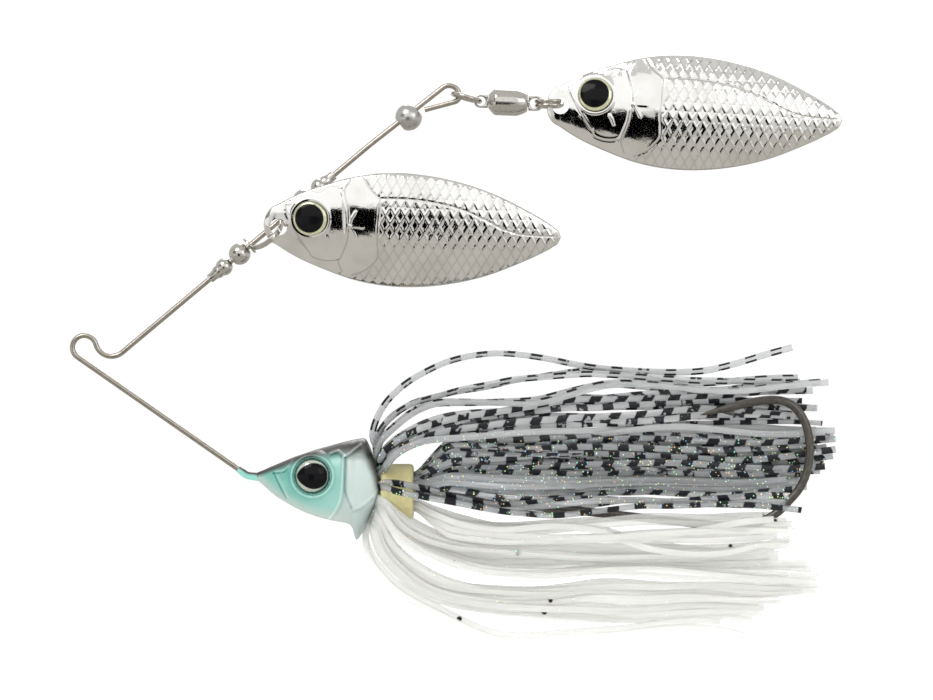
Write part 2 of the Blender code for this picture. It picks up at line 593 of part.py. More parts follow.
def blade(name, nose, turn, y_edge, hole, roll=0.0):
    lengthwise = [0.0, 0.004, 0.011, 0.022, 0.046, 0.075, 0.11, 0.16, 0.21, 0.265, 0.32, 0.385, 0.45,
                  0.515, 0.58, 0.65, 0.72, 0.79, 0.85, 0.90, 0.94, 0.972, 0.992, 1.0]
    count = 10
    bm = bmesh.new()
    sides = []
    for sign in (-1.0, 1.0):
        rows = []
        for s in lengthwise:
            u, edge = s * BLADE_L, smooth(BLADE_OUTLINE, s)
            if s in (0.0, 1.0):
                rows.append([bm.verts.new(Vector((u, sign * BLADE_T / 2, 0)) * MM)])
                continue
            row = []
            for k in range(count + 1):
                w = edge * (2 * k / count - 1)
                row.append(bm.verts.new(Vector((u, blade_y(u, w) + sign * BLADE_T / 2, w)) * MM))
            rows.append(row)
        for a, b in zip(rows, rows[1:]):
            if len(a) == 1 or len(b) == 1:
                tip, row = (a[0], b) if len(a) == 1 else (b[0], a)
                for i in range(count):
                    bm.faces.new((tip, row[i], row[i + 1]))
            else:
                for i in range(count):
                    bm.faces.new((a[i], a[i + 1], b[i + 1], b[i]))
        sides.append(rows)
    for i in (0, -1):
        rim = [[row[i] for row in rows] for rows in sides]
        for k in range(len(lengthwise) - 1):
            bm.faces.new((rim[0][k], rim[0][k + 1], rim[1][k + 1], rim[1][k]))
    made = finish(name, bm, CHROME, (nose[0], y_edge, nose[1]), turn, roll)
    drill = cross_rod(hole, -4, 2, BLADE_HOLE_R, 20)
    boolean(made, cutter(name + "_hole", drill, (nose[0], y_edge, nose[1]), turn, roll), "DIFFERENCE")
    return made


def blade_eye(name, nose, turn, y_edge, at, roll=0.0):
    """A domed sticker whose back follows the cupped sheet."""
    rings = []
    sides = 20

    def ring(r, lift):
        return [
            (at[0] + r * math.cos(2 * math.pi * k / sides),
             blade_y(at[0] + r * math.cos(2 * math.pi * k / sides), at[1] + r * math.sin(2 * math.pi * k / sides))
             - BLADE_T / 2 - lift,
             at[1] + r * math.sin(2 * math.pi * k / sides))
            for k in range(sides)
        ]

    for r in (0.25, 0.5, 0.78, 1.0):
        rings.append(ring(BLADE_EYE_R * r, 0.16))
    for r, lift in ((1.0, 0.42), (0.82, 0.62), (0.5, 0.86), (0.2, 0.95)):
        rings.append(ring(BLADE_EYE_R * r, lift))
    return finish(name, loft(rings), EYE, (nose[0], y_edge, nose[1]), turn, roll)


blade("front_blade", FRONT_NOSE, FRONT_DEG, FRONT_Y, FRONT_HOLE, FRONT_ROLL)
blade_eye("front_blade_eye", FRONT_NOSE, FRONT_DEG, FRONT_Y, FRONT_EYE_AT, FRONT_ROLL)
blade("rear_blade", REAR_NOSE, REAR_DEG, REAR_Y, REAR_HOLE)
blade_eye("rear_blade_eye", REAR_NOSE, REAR_DEG, REAR_Y, REAR_EYE_AT)
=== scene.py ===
"""Looks of the spinnerbait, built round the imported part.

Lengths below are millimetres in the part's own frame (origin at the line tie, +X to the
rear, +Z up, -Y towards the viewer) and are scaled by MM when a mesh is made.
"""

import math
import random

import bmesh
import bpy
import numpy as np
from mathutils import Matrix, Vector


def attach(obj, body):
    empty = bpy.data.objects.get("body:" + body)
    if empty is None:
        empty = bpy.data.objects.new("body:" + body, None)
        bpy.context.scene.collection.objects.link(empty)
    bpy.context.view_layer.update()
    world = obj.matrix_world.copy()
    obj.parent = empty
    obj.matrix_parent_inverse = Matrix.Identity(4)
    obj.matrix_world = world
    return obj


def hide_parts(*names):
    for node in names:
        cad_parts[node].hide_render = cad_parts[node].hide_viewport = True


MM = 0.001
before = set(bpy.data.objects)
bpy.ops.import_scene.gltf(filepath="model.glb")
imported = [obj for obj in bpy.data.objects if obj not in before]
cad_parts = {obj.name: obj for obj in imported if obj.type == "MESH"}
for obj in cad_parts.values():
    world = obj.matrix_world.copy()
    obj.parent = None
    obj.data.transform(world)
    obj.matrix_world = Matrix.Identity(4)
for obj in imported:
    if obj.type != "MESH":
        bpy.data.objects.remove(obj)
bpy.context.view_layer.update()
scene = bpy.context.scene
scene.view_settings.view_transform = "Standard"
scene.view_settings.look = "None"

# ---------------------------------------------------------------- camera
camera_data = bpy.data.cameras.new("camera")
camera_data.sensor_width = 36.0
camera_data.lens = 135.0
camera_data.clip_start, camera_data.clip_end = 0.01, 20.0
camera = bpy.data.objects.new("camera", camera_data)
camera.location = (0.0579, -0.5301, -0.0004)
camera.rotation_euler = (math.radians(90), 0, 0)
scene.collection.objects.link(camera)
scene.camera = camera


# ---------------------------------------------------------------- node helpers
class Look:
    """A material with a Principled shader and a few ways to add to it."""

    def __init__(self, name, colour, metallic=0.0, rough=0.3, **more):
        self.m = bpy.data.materials.new(name)
        self.m.use_nodes = True
        self.t = self.m.node_tree
        self.p = self.t.nodes["Principled BSDF"]
        self.set("Base Color", (*colour, 1.0))
        self.set("Metallic", metallic)
        self.set("Roughness", rough)
        for key, value in more.items():
            self.set(key.replace("_", " "), value)

    def set(self, socket, value):
        self.p.inputs[socket].default_value = value

    def node(self, kind, **values):
        n = self.t.nodes.new(kind)
        for key, value in values.items():
            setattr(n, key, value)
        return n

    def link(self, a, b):
        self.t.links.new(a, b)

    def attribute(self, name):
        return self.node("ShaderNodeAttribute", attribute_name=name)

    def place(self, stretch=(1, 1, 1), uv=False):
        """Coordinates of the surface itself, stretched."""
        c = self.node("ShaderNodeTexCoord")
        m = self.node("ShaderNodeMapping")
        m.inputs["Scale"].default_value = stretch
        self.link(c.outputs["UV" if uv else "Object"], m.inputs["Vector"])
        return m.outputs["Vector"]

    def noise(self, vector, scale, detail=3.0, rough=0.5):
        n = self.node("ShaderNodeTexNoise")
        n.inputs["Scale"].default_value = scale
        n.inputs["Detail"].default_value = detail
        n.inputs["Roughness"].default_value = rough
        self.link(vector, n.inputs["Vector"])
        return n.outputs["Fac"]

    def voronoi(self, vector, scale, feature="F1"):
        n = self.node("ShaderNodeTexVoronoi", feature=feature)
        n.inputs["Scale"].default_value = scale
        self.link(vector, n.inputs["Vector"])
        return n

    def ramp(self, value, stops):
        n = self.node("ShaderNodeValToRGB")
        e = n.color_ramp.elements
        while len(e) > 1:
            e.remove(e[-1])
        e[0].position, e[0].color = stops[0][0], self.rgba(stops[0][1])
        for at, colour in stops[1:]:
            e.new(at).color = self.rgba(colour)
        self.link(value, n.inputs["Fac"])
        return n.outputs["Color"]

    @staticmethod
    def rgba(c):
        return (c, c, c, 1.0) if isinstance(c, (int, float)) else (*c, 1.0)

    def math(self, kind, a, b=None, c=None):
        n = self.node("ShaderNodeMath", operation=kind)
        for i, v in enumerate((a, b, c)):
            if v is None:
                continue
            if isinstance(v, (int, float)):
                n.inputs[i].default_value = v
            else:
                self.link(v, n.inputs[i])
        return n.outputs[0]

    def span(self, value, a, b, low=0.0, high=1.0):
        n = self.node("ShaderNodeMapRange", interpolation_type="SMOOTHSTEP")
        self.link(value, n.inputs["Value"])
        for key, v in (("From Min", a), ("From Max", b), ("To Min", low), ("To Max", high)):
            n.inputs[key].default_value = v
        return n.outputs[0]

    def mix(self, factor, a, b):
        n = self.node("ShaderNodeMix", data_type="RGBA")
        for socket, v in ((n.inputs[0], factor), (n.inputs[6], a), (n.inputs[7], b)):
            if isinstance(v, (int, float)):
                socket.default_value = v
            elif isinstance(v, tuple):
                socket.default_value = self.rgba(v)
            else:
                self.link(v, socket)
        return n.outputs[2]

    def bump(self, height, distance, strength=1.0):
        n = self.node("ShaderNodeBump")
        n.inputs["Strength"].default_value = strength
        n.inputs["Distance"].default_value = distance
        self.link(height, n.inputs["Height"])
        self.link(n.outputs[0], self.p.inputs["Normal"])

    def to(self, value, socket):
        self.link(value, self.p.inputs[socket])


# ---------------------------------------------------------------- mesh helpers
def build(name, verts, faces, look, body, nodes=(), floats=None, colours=None, uv=None, crease=35):
    """A closed, smooth-shaded piece in mm that rides on a body of the frame."""
    mesh = bpy.data.meshes.new(name)
    mesh.from_pydata((np.asarray(verts, float) * MM).tolist(), [], [list(map(int, f)) for f in faces])
    for key, values in (floats or {}).items():
        a = mesh.attributes.new(key, "FLOAT", "POINT")
        a.data.foreach_set("value", np.asarray(values, np.float32))
    for key, values in (colours or {}).items():
        a = mesh.attributes.new(key, "FLOAT_COLOR", "POINT")
        rgba = np.ones((len(verts), 4), np.float32)
        rgba[:, :3] = values
        a.data.foreach_set("color", rgba.ravel())
    if uv is not None:
        layer = mesh.uv_layers.new(name="UVMap")
        index = np.zeros(len(mesh.loops), np.int32)
        mesh.loops.foreach_get("vertex_index", index)
        layer.data.foreach_set("uv", np.asarray(uv, np.float32)[index].ravel())
    bm = bmesh.new()
    bm.from_mesh(mesh)
    bmesh.ops.recalc_face_normals(bm, faces=bm.faces)
    bm.to_mesh(mesh)
    bm.free()
    mesh.shade_smooth()
    mesh.set_sharp_from_angle(angle=math.radians(crease))
    mesh.materials.append(look.m)
    made = bpy.data.objects.new(name, mesh)
    scene.collection.objects.link(made)
    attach(made, body)
    if nodes:
        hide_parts(*nodes)
    return made


class Parts:
    """Several closed shells that make one piece."""

    def __init__(self):
        self.v, self.f, self.extra = [], [], {}

    def add(self, verts, faces, **extra):
        start = len(self.v)
        self.v += [tuple(map(float, p)) for p in verts]
        self.f += [[i + start for i in f] for f in faces]
        for key, values in extra.items():
            self.extra.setdefault(key, []).extend(values)
        return self


def strip_faces(rows, n, closed_rows=False, closed_ring=True, start=0):
    faces = []
    for i in range(rows if closed_rows else rows - 1):
        a, b = i * n, ((i + 1) % rows) * n
        for k in range(n if closed_ring else n - 1):
            j = (k + 1) % n
            faces.append([start + a + k, start + a + j, start + b + j, start + b + k])
    return faces


def loft(rings, closed=False):
    """Verts and faces through rings of equal count; ends are capped."""
    n, rows = len(rings[0]), len(rings)
    verts = [tuple(p) for ring in rings for p in ring]
    faces = strip_faces(rows, n, closed)
    if not closed:
        for ring, first in ((rings[0], 0), (rings[-1], (rows - 1) * n)):
            middle = np.mean(np.array([tuple(p) for p in ring]), axis=0)
            verts.append(tuple(middle))
            c = len(verts) - 1
            faces += [[first + k, first + (k + 1) % n, c] for k in range(n)]
    return verts, faces


def frames(points, up=(0, 0, 1)):
    pts = [Vector(p) for p in points]
    tangents = []
    for i in range(len(pts)):
        a, b = pts[max(i - 1, 0)], pts[min(i + 1, len(pts) - 1)]
        tangents.append((b - a).normalized())
    up = Vector(up)
    if abs(tangents[0].dot(up)) > 0.9:
        up = Vector((0, 1, 0))
    found = []
    for p, t in zip(pts, tangents):
        up = (up - t * up.dot(t)).normalized()
        found.append((p, t, up.copy(), t.cross(up)))
    return found


def tube(points, radius, sides=24, closed=False):
    """A round tube; radius is a number or one for each point. Also gives (along, round) for each vert."""
    radii = radius if hasattr(radius, "__len__") else [radius] * len(points)
    rings, uv, run, last = [], [], 0.0, None
    for (p, _, up, side), r in zip(frames(points), radii):
        run += (p - last).length if last is not None else 0.0
        last = p
        rings.append([p + up * (r * math.cos(2 * math.pi * k / sides)) + side * (r * math.sin(2 * math.pi * k / sides))
                      for k in range(sides)])
        uv += [(run, k / sides) for k in range(sides)]
    verts, faces = loft(rings, closed)
    uv += [(0.0, 0.0)] * (len(verts) - len(uv))
    return verts, faces, uv


def turned(profile, sides=64):
    """A closed profile of (along, radius) pairs turned about +X."""
    rings = []
    for k in range(sides):
        c, s = math.cos(2 * math.pi * k / sides), math.sin(2 * math.pi * k / sides)
        rings.append([(x, r * c, r * s) for x, r in profile])
    return loft(rings, closed=True)


def placed(verts, at, deg):
    """Turns local +X towards +Z by deg and moves to at."""
    a = math.radians(deg)
    c, s = math.cos(a), math.sin(a)
    v = np.asarray([tuple(p) for p in verts], float)
    return np.stack([at[0] + v[:, 0] * c - v[:, 2] * s, at[1] + v[:, 1], at[2] + v[:, 0] * s + v[:, 2] * c], 1)


def arc(centre, radius, start, end, steps):
    return [(centre[0] + radius * math.cos(math.radians(a)), 0.0, centre[1] + radius * math.sin(math.radians(a)))
            for a in np.linspace(start, end, steps)]


def spline(points, per_span=6):
    p = [np.array(tuple(q), float) for q in points]
    p = [2 * p[0] - p[1], *p, 2 * p[-1] - p[-2]]
    out = []
    for a, b, c, d in zip(p, p[1:], p[2:], p[3:]):
        for k in range(per_span):
            t = k / per_span
            out.append(0.5 * (2 * b + (c - a) * t + (2 * a - 5 * b + 4 * c - d) * t**2
                              + (3 * b - a - 3 * c + d) * t**3))
    out.append(p[-2])
    return out


def even(points, count):
    """count points at equal distances along a line through points."""
    p = np.array([tuple(q) for q in points], float)
    d = np.concatenate([[0], np.cumsum(np.linalg.norm(np.diff(p, axis=0), axis=1))])
    t = np.linspace(0, d[-1], count)
    return np.stack([np.interp(t, d, p[:, i]) for i in range(p.shape[1])], 1)


def smooth_table(table, x):
    """Cubic through (x, y) pairs, for arrays."""
    xs, ys = np.array([q[0] for q in table], float), np.array([q[1] for q in table], float)
    slopes = np.gradient(ys, xs)
    x = np.clip(x, xs[0], xs[-1])
    i = np.clip(np.searchsorted(xs, x) - 1, 0, len(xs) - 2)
    h = xs[i + 1] - xs[i]
    t = (x - xs[i]) / h
    return ((2 * t**3 - 3 * t**2 + 1) * ys[i] + (t**3 - 2 * t**2 + t) * h * slopes[i]
            + (3 * t**2 - 2 * t**3) * ys[i + 1] + (t**3 - t**2) * h * slopes[i + 1])


def step(x, a, b):
    t = np.clip((x - a) / (b - a), 0, 1)
    return t * t * (3 - 2 * t)


def from_line(u, w, line):
    """Distance of each (u, w) from a polyline."""
    best = np.full(np.shape(u), 1e9)
    for (ax, ay), (bx, by) in zip(line, line[1:]):
        dx, dy = bx - ax, by - ay
        t = np.clip(((u - ax) * dx + (w - ay) * dy) / (dx * dx + dy * dy), 0, 1)
        best = np.minimum(best, np.hypot(u - ax - t * dx, w - ay - t * dy))
    return best


def soft_line(line, per_span=4):
    return [tuple(p) for p in spline(line, per_span)]


# ---------------------------------------------------------------- looks
WIRE = Look("steel wire", (0.46, 0.43, 0.39), 1.0, 0.22)
v = WIRE.place((0.6, 14, 1), uv=True)
drawn = WIRE.noise(v, 3.0, 4.0, 0.6)
WIRE.to(WIRE.span(drawn, 0.3, 0.75, 0.20, 0.36), "Roughness")
WIRE.to(WIRE.mix(WIRE.span(WIRE.noise(WIRE.place(), 900, 3), 0.4, 0.7), (0.53, 0.49, 0.435), (0.45, 0.41, 0.36)), "Base Color")
WIRE.bump(drawn, 0.000005, 0.3)


def plated(name, colour, dark, rough, scale=2500):
    look = Look(name, colour, 1.0, rough)
    wear = look.noise(look.place(), scale, 4.0, 0.55)
    look.to(look.mix(look.span(wear, 0.45, 0.72), colour, dark), "Base Color")
    look.to(look.span(wear, 0.3, 0.75, rough * 0.75, rough * 1.5), "Roughness")
    look.bump(look.noise(look.place(), scale * 3, 2.0), 0.000004, 0.35)
    return look


NICKEL = plated("nickel plate", (0.66, 0.64, 0.60), (0.52, 0.50, 0.46), 0.14)
BALL = plated("satin nickel", (0.62, 0.61, 0.59), (0.52, 0.51, 0.49), 0.24)
RING = plated("ring plate", (0.58, 0.55, 0.50), (0.45, 0.42, 0.37), 0.16)
CLEVIS = plated("clevis strip", (0.66, 0.64, 0.60), (0.52, 0.50, 0.46), 0.16)
BEARING = plated("bearing steel", (0.55, 0.55, 0.56), (0.42, 0.42, 0.43), 0.18)

CHROME = Look("blade plate", (0.93, 0.925, 0.91), 1.0, 0.06)
fine = CHROME.noise(CHROME.place((1, 1, 1)), 5200, 3.0, 0.6)
CHROME.to(CHROME.span(fine, 0.35, 0.75, 0.045, 0.13), "Roughness")
plate = CHROME.mix(CHROME.span(CHROME.noise(CHROME.place(), 260, 4), 0.42, 0.7), (0.94, 0.935, 0.92), (0.86, 0.85, 0.82))
# painted shade: the chrome's base colour goes dark along the blades' relief mask (stamped grooves, scale borders and
# rim)
CHROME.to(CHROME.mix(CHROME.attribute("painted_relief_shading").outputs["Fac"], plate, (0.30, 0.29, 0.27)), "Base Color")
peel = CHROME.noise(CHROME.place(), 1500, 3.0, 0.6)
CHROME.bump(CHROME.math("ADD", CHROME.math("MULTIPLY", peel, 3.0), fine), 0.000006, 0.5)

EYE = Look("eye dome", (0.01, 0.01, 0.01), 0.0, 0.12, Specular_IOR_Level=0.13)
tint = EYE.attribute("tint")
shine = EYE.attribute("shine")
EYE.to(EYE.mix(EYE.span(EYE.noise(EYE.place(), 6000, 2), 0.4, 0.7, 0.0, 0.25), tint.outputs["Color"], (0.006, 0.006, 0.008)), "Base Color")
EYE.to(shine.outputs["Fac"], "Metallic")

PAINT = Look("head paint", (0.36, 0.70, 0.62), 0.0, 0.30, Coat_Weight=0.25, Coat_Roughness=0.12)
tint = PAINT.attribute("tint")
mist = PAINT.noise(PAINT.place(), 420, 5.0, 0.6)
speck = PAINT.noise(PAINT.place(), 5200, 2.0, 0.5)
shade = PAINT.mix(PAINT.span(mist, 0.35, 0.75, 0.0, 0.08), tint.outputs["Color"], (0.50, 0.62, 0.60))
PAINT.to(PAINT.mix(PAINT.span(speck, 0.60, 0.72, 0.0, 0.12), shade, (0.62, 0.72, 0.70)), "Base Color")
PAINT.to(PAINT.span(speck, 0.58, 0.70, 0.0, 0.12), "Metallic")
PAINT.bump(mist, 0.00002, 0.3)

HOOK = Look("hook plate", (0.16, 0.15, 0.14), 0.80, 0.36)
wear = HOOK.noise(HOOK.place(), 1600, 5.0, 0.6)
HOOK.to(HOOK.mix(HOOK.span(wear, 0.4, 0.72), (0.115, 0.108, 0.100), (0.155, 0.145, 0.13)), "Base Color")
HOOK.to(HOOK.span(wear, 0.3, 0.7, 0.26, 0.46), "Roughness")
HOOK.bump(wear, 0.00001, 0.4)

COLLAR = Look("collar rubber", (0.50, 0.45, 0.17), 0.0, 0.38, Subsurface_Weight=0.35, Subsurface_Scale=0.002)
cloud = COLLAR.noise(COLLAR.place(), 500, 4.0, 0.5)
COLLAR.to(COLLAR.mix(COLLAR.span(cloud, 0.3, 0.75), (0.74, 0.68, 0.36), (0.58, 0.54, 0.27)), "Base Color")
COLLAR.bump(COLLAR.noise(COLLAR.place(), 3000, 3.0), 0.00001, 0.3)


def silicone(name, barred):
    """Flat extruded strips: clear with fine glitter, printed with dark bars or a few dark flecks; painted shade darkens
    their long edges and the glitter flakes glow as a painted glint.
    """
    base = (0.49, 0.505, 0.52) if barred else (0.92, 0.92, 0.895)
    look = Look(name, base, 0.0, 0.30, Specular_IOR_Level=0.45)
    along = look.attribute("along").outputs["Fac"]
    across = look.attribute("across").outputs["Fac"]
    seed = look.attribute("seed").outputs["Fac"]
    ink = look.attribute("ink").outputs["Fac"]
    grid = look.node("ShaderNodeCombineXYZ")
    look.link(along, grid.inputs[0])
    look.link(look.math("MULTIPLY", across, 0.48), grid.inputs[1])
    look.link(look.math("MULTIPLY", seed, 37.0), grid.inputs[2])
    vec = grid.outputs[0]
    streak = look.node("ShaderNodeMapping")
    streak.inputs["Scale"].default_value = (0.25, 6.0, 1.0)
    look.link(vec, streak.inputs["Vector"])
    rib = look.noise(streak.outputs[0], 1.6, 3.0, 0.55)
    height = look.node("ShaderNodeSeparateXYZ")
    look.link(look.place(), height.inputs[0])
    high = look.span(height.outputs[2], -0.0148, -0.0118)
    wobble = look.math("MULTIPLY", look.math("SUBTRACT", look.noise(vec, 1.3, 3.0, 0.6), 0.5), 0.16)
    if barred:
        t = look.math("FRACT", look.math("ADD", look.math("ADD", look.math("DIVIDE", along, 4.1), seed), wobble))
        slant = look.math("MULTIPLY", look.math("SUBTRACT", look.math("FRACT", look.math("MULTIPLY", seed, 7.3)), 0.5), 0.16)
        t = look.math("FRACT", look.math("ADD", t, look.math("MULTIPLY", slant, across)))
        bar = look.math("MULTIPLY", look.span(t, 0.0, 0.02), look.span(t, 0.42, 0.44, 1.0, 0.0))
        torn = look.span(look.noise(vec, 0.75, 2.0, 0.5), 0.62, 0.66, 1.0, 0.25)
        middle = look.math("LESS_THAN", look.math("ABSOLUTE", across), 0.42)
        torn = look.math("MULTIPLY", torn, look.math("SUBTRACT", 1.0, look.math("MULTIPLY", middle, look.math("GREATER_THAN", ink, 1.2))))
        bar = look.math("MULTIPLY", look.math("MULTIPLY", bar, torn), look.math("MINIMUM", ink, 1.0))
    else:
        cells = look.voronoi(vec, 0.28)
        chance = look.node("ShaderNodeSeparateColor")
        look.link(cells.outputs["Color"], chance.inputs[0])
        bar = look.math("MULTIPLY", look.math("GREATER_THAN", chance.outputs[0], 0.86),
                        look.span(cells.outputs["Distance"], 0.10, 0.14, 1.0, 0.0))
    flakes = look.voronoi(vec, 2.5)
    part = look.node("ShaderNodeSeparateColor")
    look.link(flakes.outputs["Color"], part.inputs[0])
    few = 0.70 if barred else 0.985
    glitter_and_painted_glint = look.math("MULTIPLY", look.math("GREATER_THAN", part.outputs[0], few),
                      look.span(flakes.outputs["Distance"], 0.20, 0.32, 1.0, 0.0))
    glitter_and_painted_glint = look.math("MULTIPLY", glitter_and_painted_glint, look.math("SUBTRACT", 1.0, look.math("MULTIPLY", high, 0.92)))
    hue = look.ramp(part.outputs[1], [(0.0, (0.22, 0.72, 0.45)), (0.3, (0.45, 0.82, 0.40)), (0.5, (0.85, 0.85, 0.35)),
                                      (0.72, (0.95, 0.45, 0.15)), (0.85, (0.15, 0.55, 0.95)), (1.0, (0.75, 0.75, 0.75))])
    body = look.mix(look.span(rib, 0.35, 0.7), base, tuple(c * (0.72 if barred else 0.91) for c in base))
    # painted shade: each strip's base colour darkens towards its long edges, more on the barred strips
    lip = look.span(look.math("ABSOLUTE", across), 0.72, 0.98, 0.0, 0.50 if barred else 0.17)
    body = look.mix(lip, body, tuple(c * 0.30 for c in base))
    if barred:
        body = look.mix(look.math("MULTIPLY", high, 0.55), body, (0.72, 0.73, 0.735))
    inked = look.mix(bar, body, (0.008, 0.009, 0.015))
    look.to(look.mix(glitter_and_painted_glint, inked, hue), "Base Color")
    # painted glint: the glitter flakes also glow in their own hue, though they are no lamp
    look.to(hue, "Emission Color")
    look.to(look.math("MULTIPLY", glitter_and_painted_glint, 0.42), "Emission Strength")
    clear = 0.58 if barred else 0.50
    solid = look.math("MAXIMUM", bar, glitter_and_painted_glint)
    look.to(look.span(solid, 0.0, 1.0, clear, 0.97), "Alpha")
    look.bump(rib, 0.00004, 0.5)
    return look


BARRED = silicone("barred silicone", True)
CLEAR = silicone("clear silicone", False)

# ---------------------------------------------------------------- wire form
WIRE_R = 0.405
low, high, rise, tail = (math.radians(a) for a in (-34.86, 39.97, 38.1, 194.9))
D = Vector((math.cos(high), 0, math.sin(high)))
DOWN = Vector((D.z, 0, -D.x))
dip_r = math.hypot(4.14, 1.15) - 1.80
touch = math.degrees(math.atan2(1.15, 4.14))
tie = arc((0, 0), 1.80, -34.86 + 270, touch, 64)
dip = arc((4.14, 1.15), dip_r, touch + 180, 39.97 + 270, 28)
ARM_0 = Vector(dip[-1])
ARM_0_AT = ARM_0.dot(D)


def on_arm(at):
    return ARM_0 + D * (at - ARM_0_AT)


def arm_line(x):
    return (x, 0.0, tie[0][2] + (x - tie[0][0]) * math.tan(low))


kink = on_arm(53.0)
corner = kink.z + (56.80 - kink.x) * math.tan(rise)
centre1 = (56.80 - 1.55, corner - 1.55 * math.tan(math.radians((90 + 38.1) / 2)))
loop = arc(centre1, 1.55, 90 + 38.1, 0, 44) + arc((56.80 - 0.95, centre1[1]), 0.95, 0, 194.9 - 270, 26)[1:]
end = Vector(loop[-1])
tail_end = end + Vector((math.cos(tail), 0, math.sin(tail))) * ((51.55 - end.x) / math.cos(tail))
inside = spline([
    (33.3, 1.45, -19.7), (33.3, 0.3, -19.7), (32.95, -1.05, -19.7), (31.5, -1.50, -19.7), (29.7, -0.95, -19.7),
    (28.3, -0.2, -19.7), (27.0, 0, -19.7), (25.9, 0, -19.68), arm_line(24.6), arm_line(23.4)], 5)
smooth_kink = [tuple(kink + D * -a) for a in (3.0, 1.5, 0.6)] + [
    tuple(kink + Vector((math.cos(rise), 0, math.sin(rise))) * a) for a in (0.6, 1.5, 3.0)]
path = ([tuple(p) for p in inside] + [arm_line(x) for x in (18.0, 12.0, 6.0)] + tie + dip[1:]
        + [tuple(on_arm(a)) for a in (10.0, 20.0, 30.0, 40.0)] + smooth_kink + loop + [tuple(tail_end)])
v, f, uv = tube(path, WIRE_R, 28)
build("wire_form", v, f, WIRE, "lure_frame", ["wire_frame"], uv=uv)

# ---------------------------------------------------------------- stops, beads and loop ball
BORE = WIRE_R + 0.10


def ball_arc(radius, first, last, steps):
    return [(-radius * math.cos(a), radius * math.sin(a)) for a in np.linspace(first, last, steps)]


def stop_profile(sign):
    """Ball, cone and thin sleeve; the sleeve points away from the clevis."""
    points = [(-2.85, BORE), (-2.85, 0.66), (-2.80, 0.70), (-2.0, 0.72), (-1.88, 0.76), (-1.62, 0.84), (-1.30, 0.98)]
    cut = math.asin(BORE / 1.30)
    points += [p for p in ball_arc(1.30, math.radians(48), math.pi - cut, 30)]
    points += [(points[-1][0] - 0.05, BORE)]
    return [(sign * x, r) for x, r in points]


def bead(radius, bore, recess):
    first = math.asin(recess / radius)
    outer = ball_arc(radius, first, math.pi - first, 40)
    x = outer[-1][0]
    return ([(-x + 0.04, recess - 0.06)] + outer + [(x - 0.04, recess - 0.06), (x - 0.34, recess - 0.10), (x - 0.36, bore),
            (-x + 0.36, bore), (-x + 0.34, recess - 0.10)])


def simple(name, shape, at, deg, look, body, nodes, crease=35):
    v, f = shape
    return build(name, placed(v, at, deg), f, look, body, nodes, crease=crease)


simple("stop_low", turned(stop_profile(1.0)), on_arm(24.06), 39.97, NICKEL, "lure_frame", ["lower_stop"])
simple("stop_high", turned(stop_profile(-1.0)), on_arm(42.90), 39.97, NICKEL, "lure_frame", ["upper_stop"])
simple("bead_low", turned(bead(1.65, BORE, 0.78)), on_arm(27.12), 39.97, NICKEL, "lower_bead", ["lower_bead"])
simple("bead_high", turned(bead(1.65, BORE, 0.78)), on_arm(39.80), 39.97, NICKEL, "upper_bead", ["upper_bead"])
simple("end_ball", turned(bead(2.03, 0.80, 1.12), 80), (49.14, 0, 34.86), 38.1, BALL, "loop_ball", ["loop_ball"])

# ---------------------------------------------------------------- clevis
tilt = math.radians(18.7)
REACH = Vector((0, -1, 0)) * math.cos(tilt) + DOWN * math.sin(tilt)
half, mid = (35.20 - 29.10) / 2, (35.20 + 29.10) / 2
WIDE = D.cross(REACH).normalized()
section = []
for cx, cy, a0 in ((0.30, 0.07, 0), (-0.30, 0.07, 90), (-0.30, -0.07, 180), (0.30, -0.07, 270)):
    for a in (a0, a0 + 30, a0 + 60, a0 + 90):
        section.append((cx + 0.10 * math.cos(math.radians(a)), cy + 0.10 * math.sin(math.radians(a))))
rings = []
for k in range(73):
    a = math.pi * k / 72
    s, c = math.sin(a), math.cos(a)
    p = on_arm(mid - half * c) + REACH * (5.2 * s)
    t = (D * (half * s) + REACH * (5.2 * c)).normalized()
    n = t.cross(WIDE)
    rings.append([p + WIDE * u + n * w for u, w in section])
parts = Parts().add(*loft(rings))
for at in (29.10, 35.20):
    ear = [(-0.19, BORE + 0.10), (-0.19, 1.32), (-0.15, 1.37), (0.15, 1.37), (0.19, 1.32), (0.19, BORE + 0.10)]
    v, f = turned(ear, 56)
    parts.add(placed(v, on_arm(at), 39.97), f)
build("clevis_strip", parts.v, parts.f, CLEVIS, "clevis", ["clevis"])

# ---------------------------------------------------------------- chain
left, right = Vector((55.90, 0, 38.40)), Vector((59.90, 0, 37.27))
along = (right - left).normalized()
normal = along.cross(Vector((0, 1, 0)))
rings = []
for i in range(112):
    a = 2 * math.pi * i / 112
    out = along * math.cos(a) + Vector((0, 1, 0)) * math.sin(a)
    rings.append([(left + right) / 2 + out * ((right - left).length / 2 + 0.375 * math.cos(b)) + normal * (0.375 * math.sin(b))
                  for b in (2 * math.pi * j / 32 for j in range(32))])
v, f = loft(rings, closed=True)
build("link", v, f, RING, "link_ring", ["link_ring"])

SWIVEL, TURN = (64.20, 0, 37.12), -2.3
outer = spline([(-2.97, 1.02), (-2.72, 1.32), (-2.40, 1.66), (-2.10, 1.92), (-1.85, 2.02), (-1.4, 2.03)], 5)
outer += [np.array(p) for p in ((0.0, 2.03), (1.0, 2.03))]
outer += spline([(1.30, 2.01), (1.65, 1.93), (2.25, 1.68), (2.75, 1.42), (2.93, 1.25), (2.95, 1.08)], 5)
profile = [tuple(p) for p in outer] + [(2.90, 0.90), (1.70, 0.85), (1.70, 1.66), (-1.60, 1.66), (-1.60, 0.82), (-2.92, 0.82)]
simple("barrel", turned(profile, 88), SWIVEL, TURN, NICKEL, "swivel_body", ["swivel_barrel"], 50)


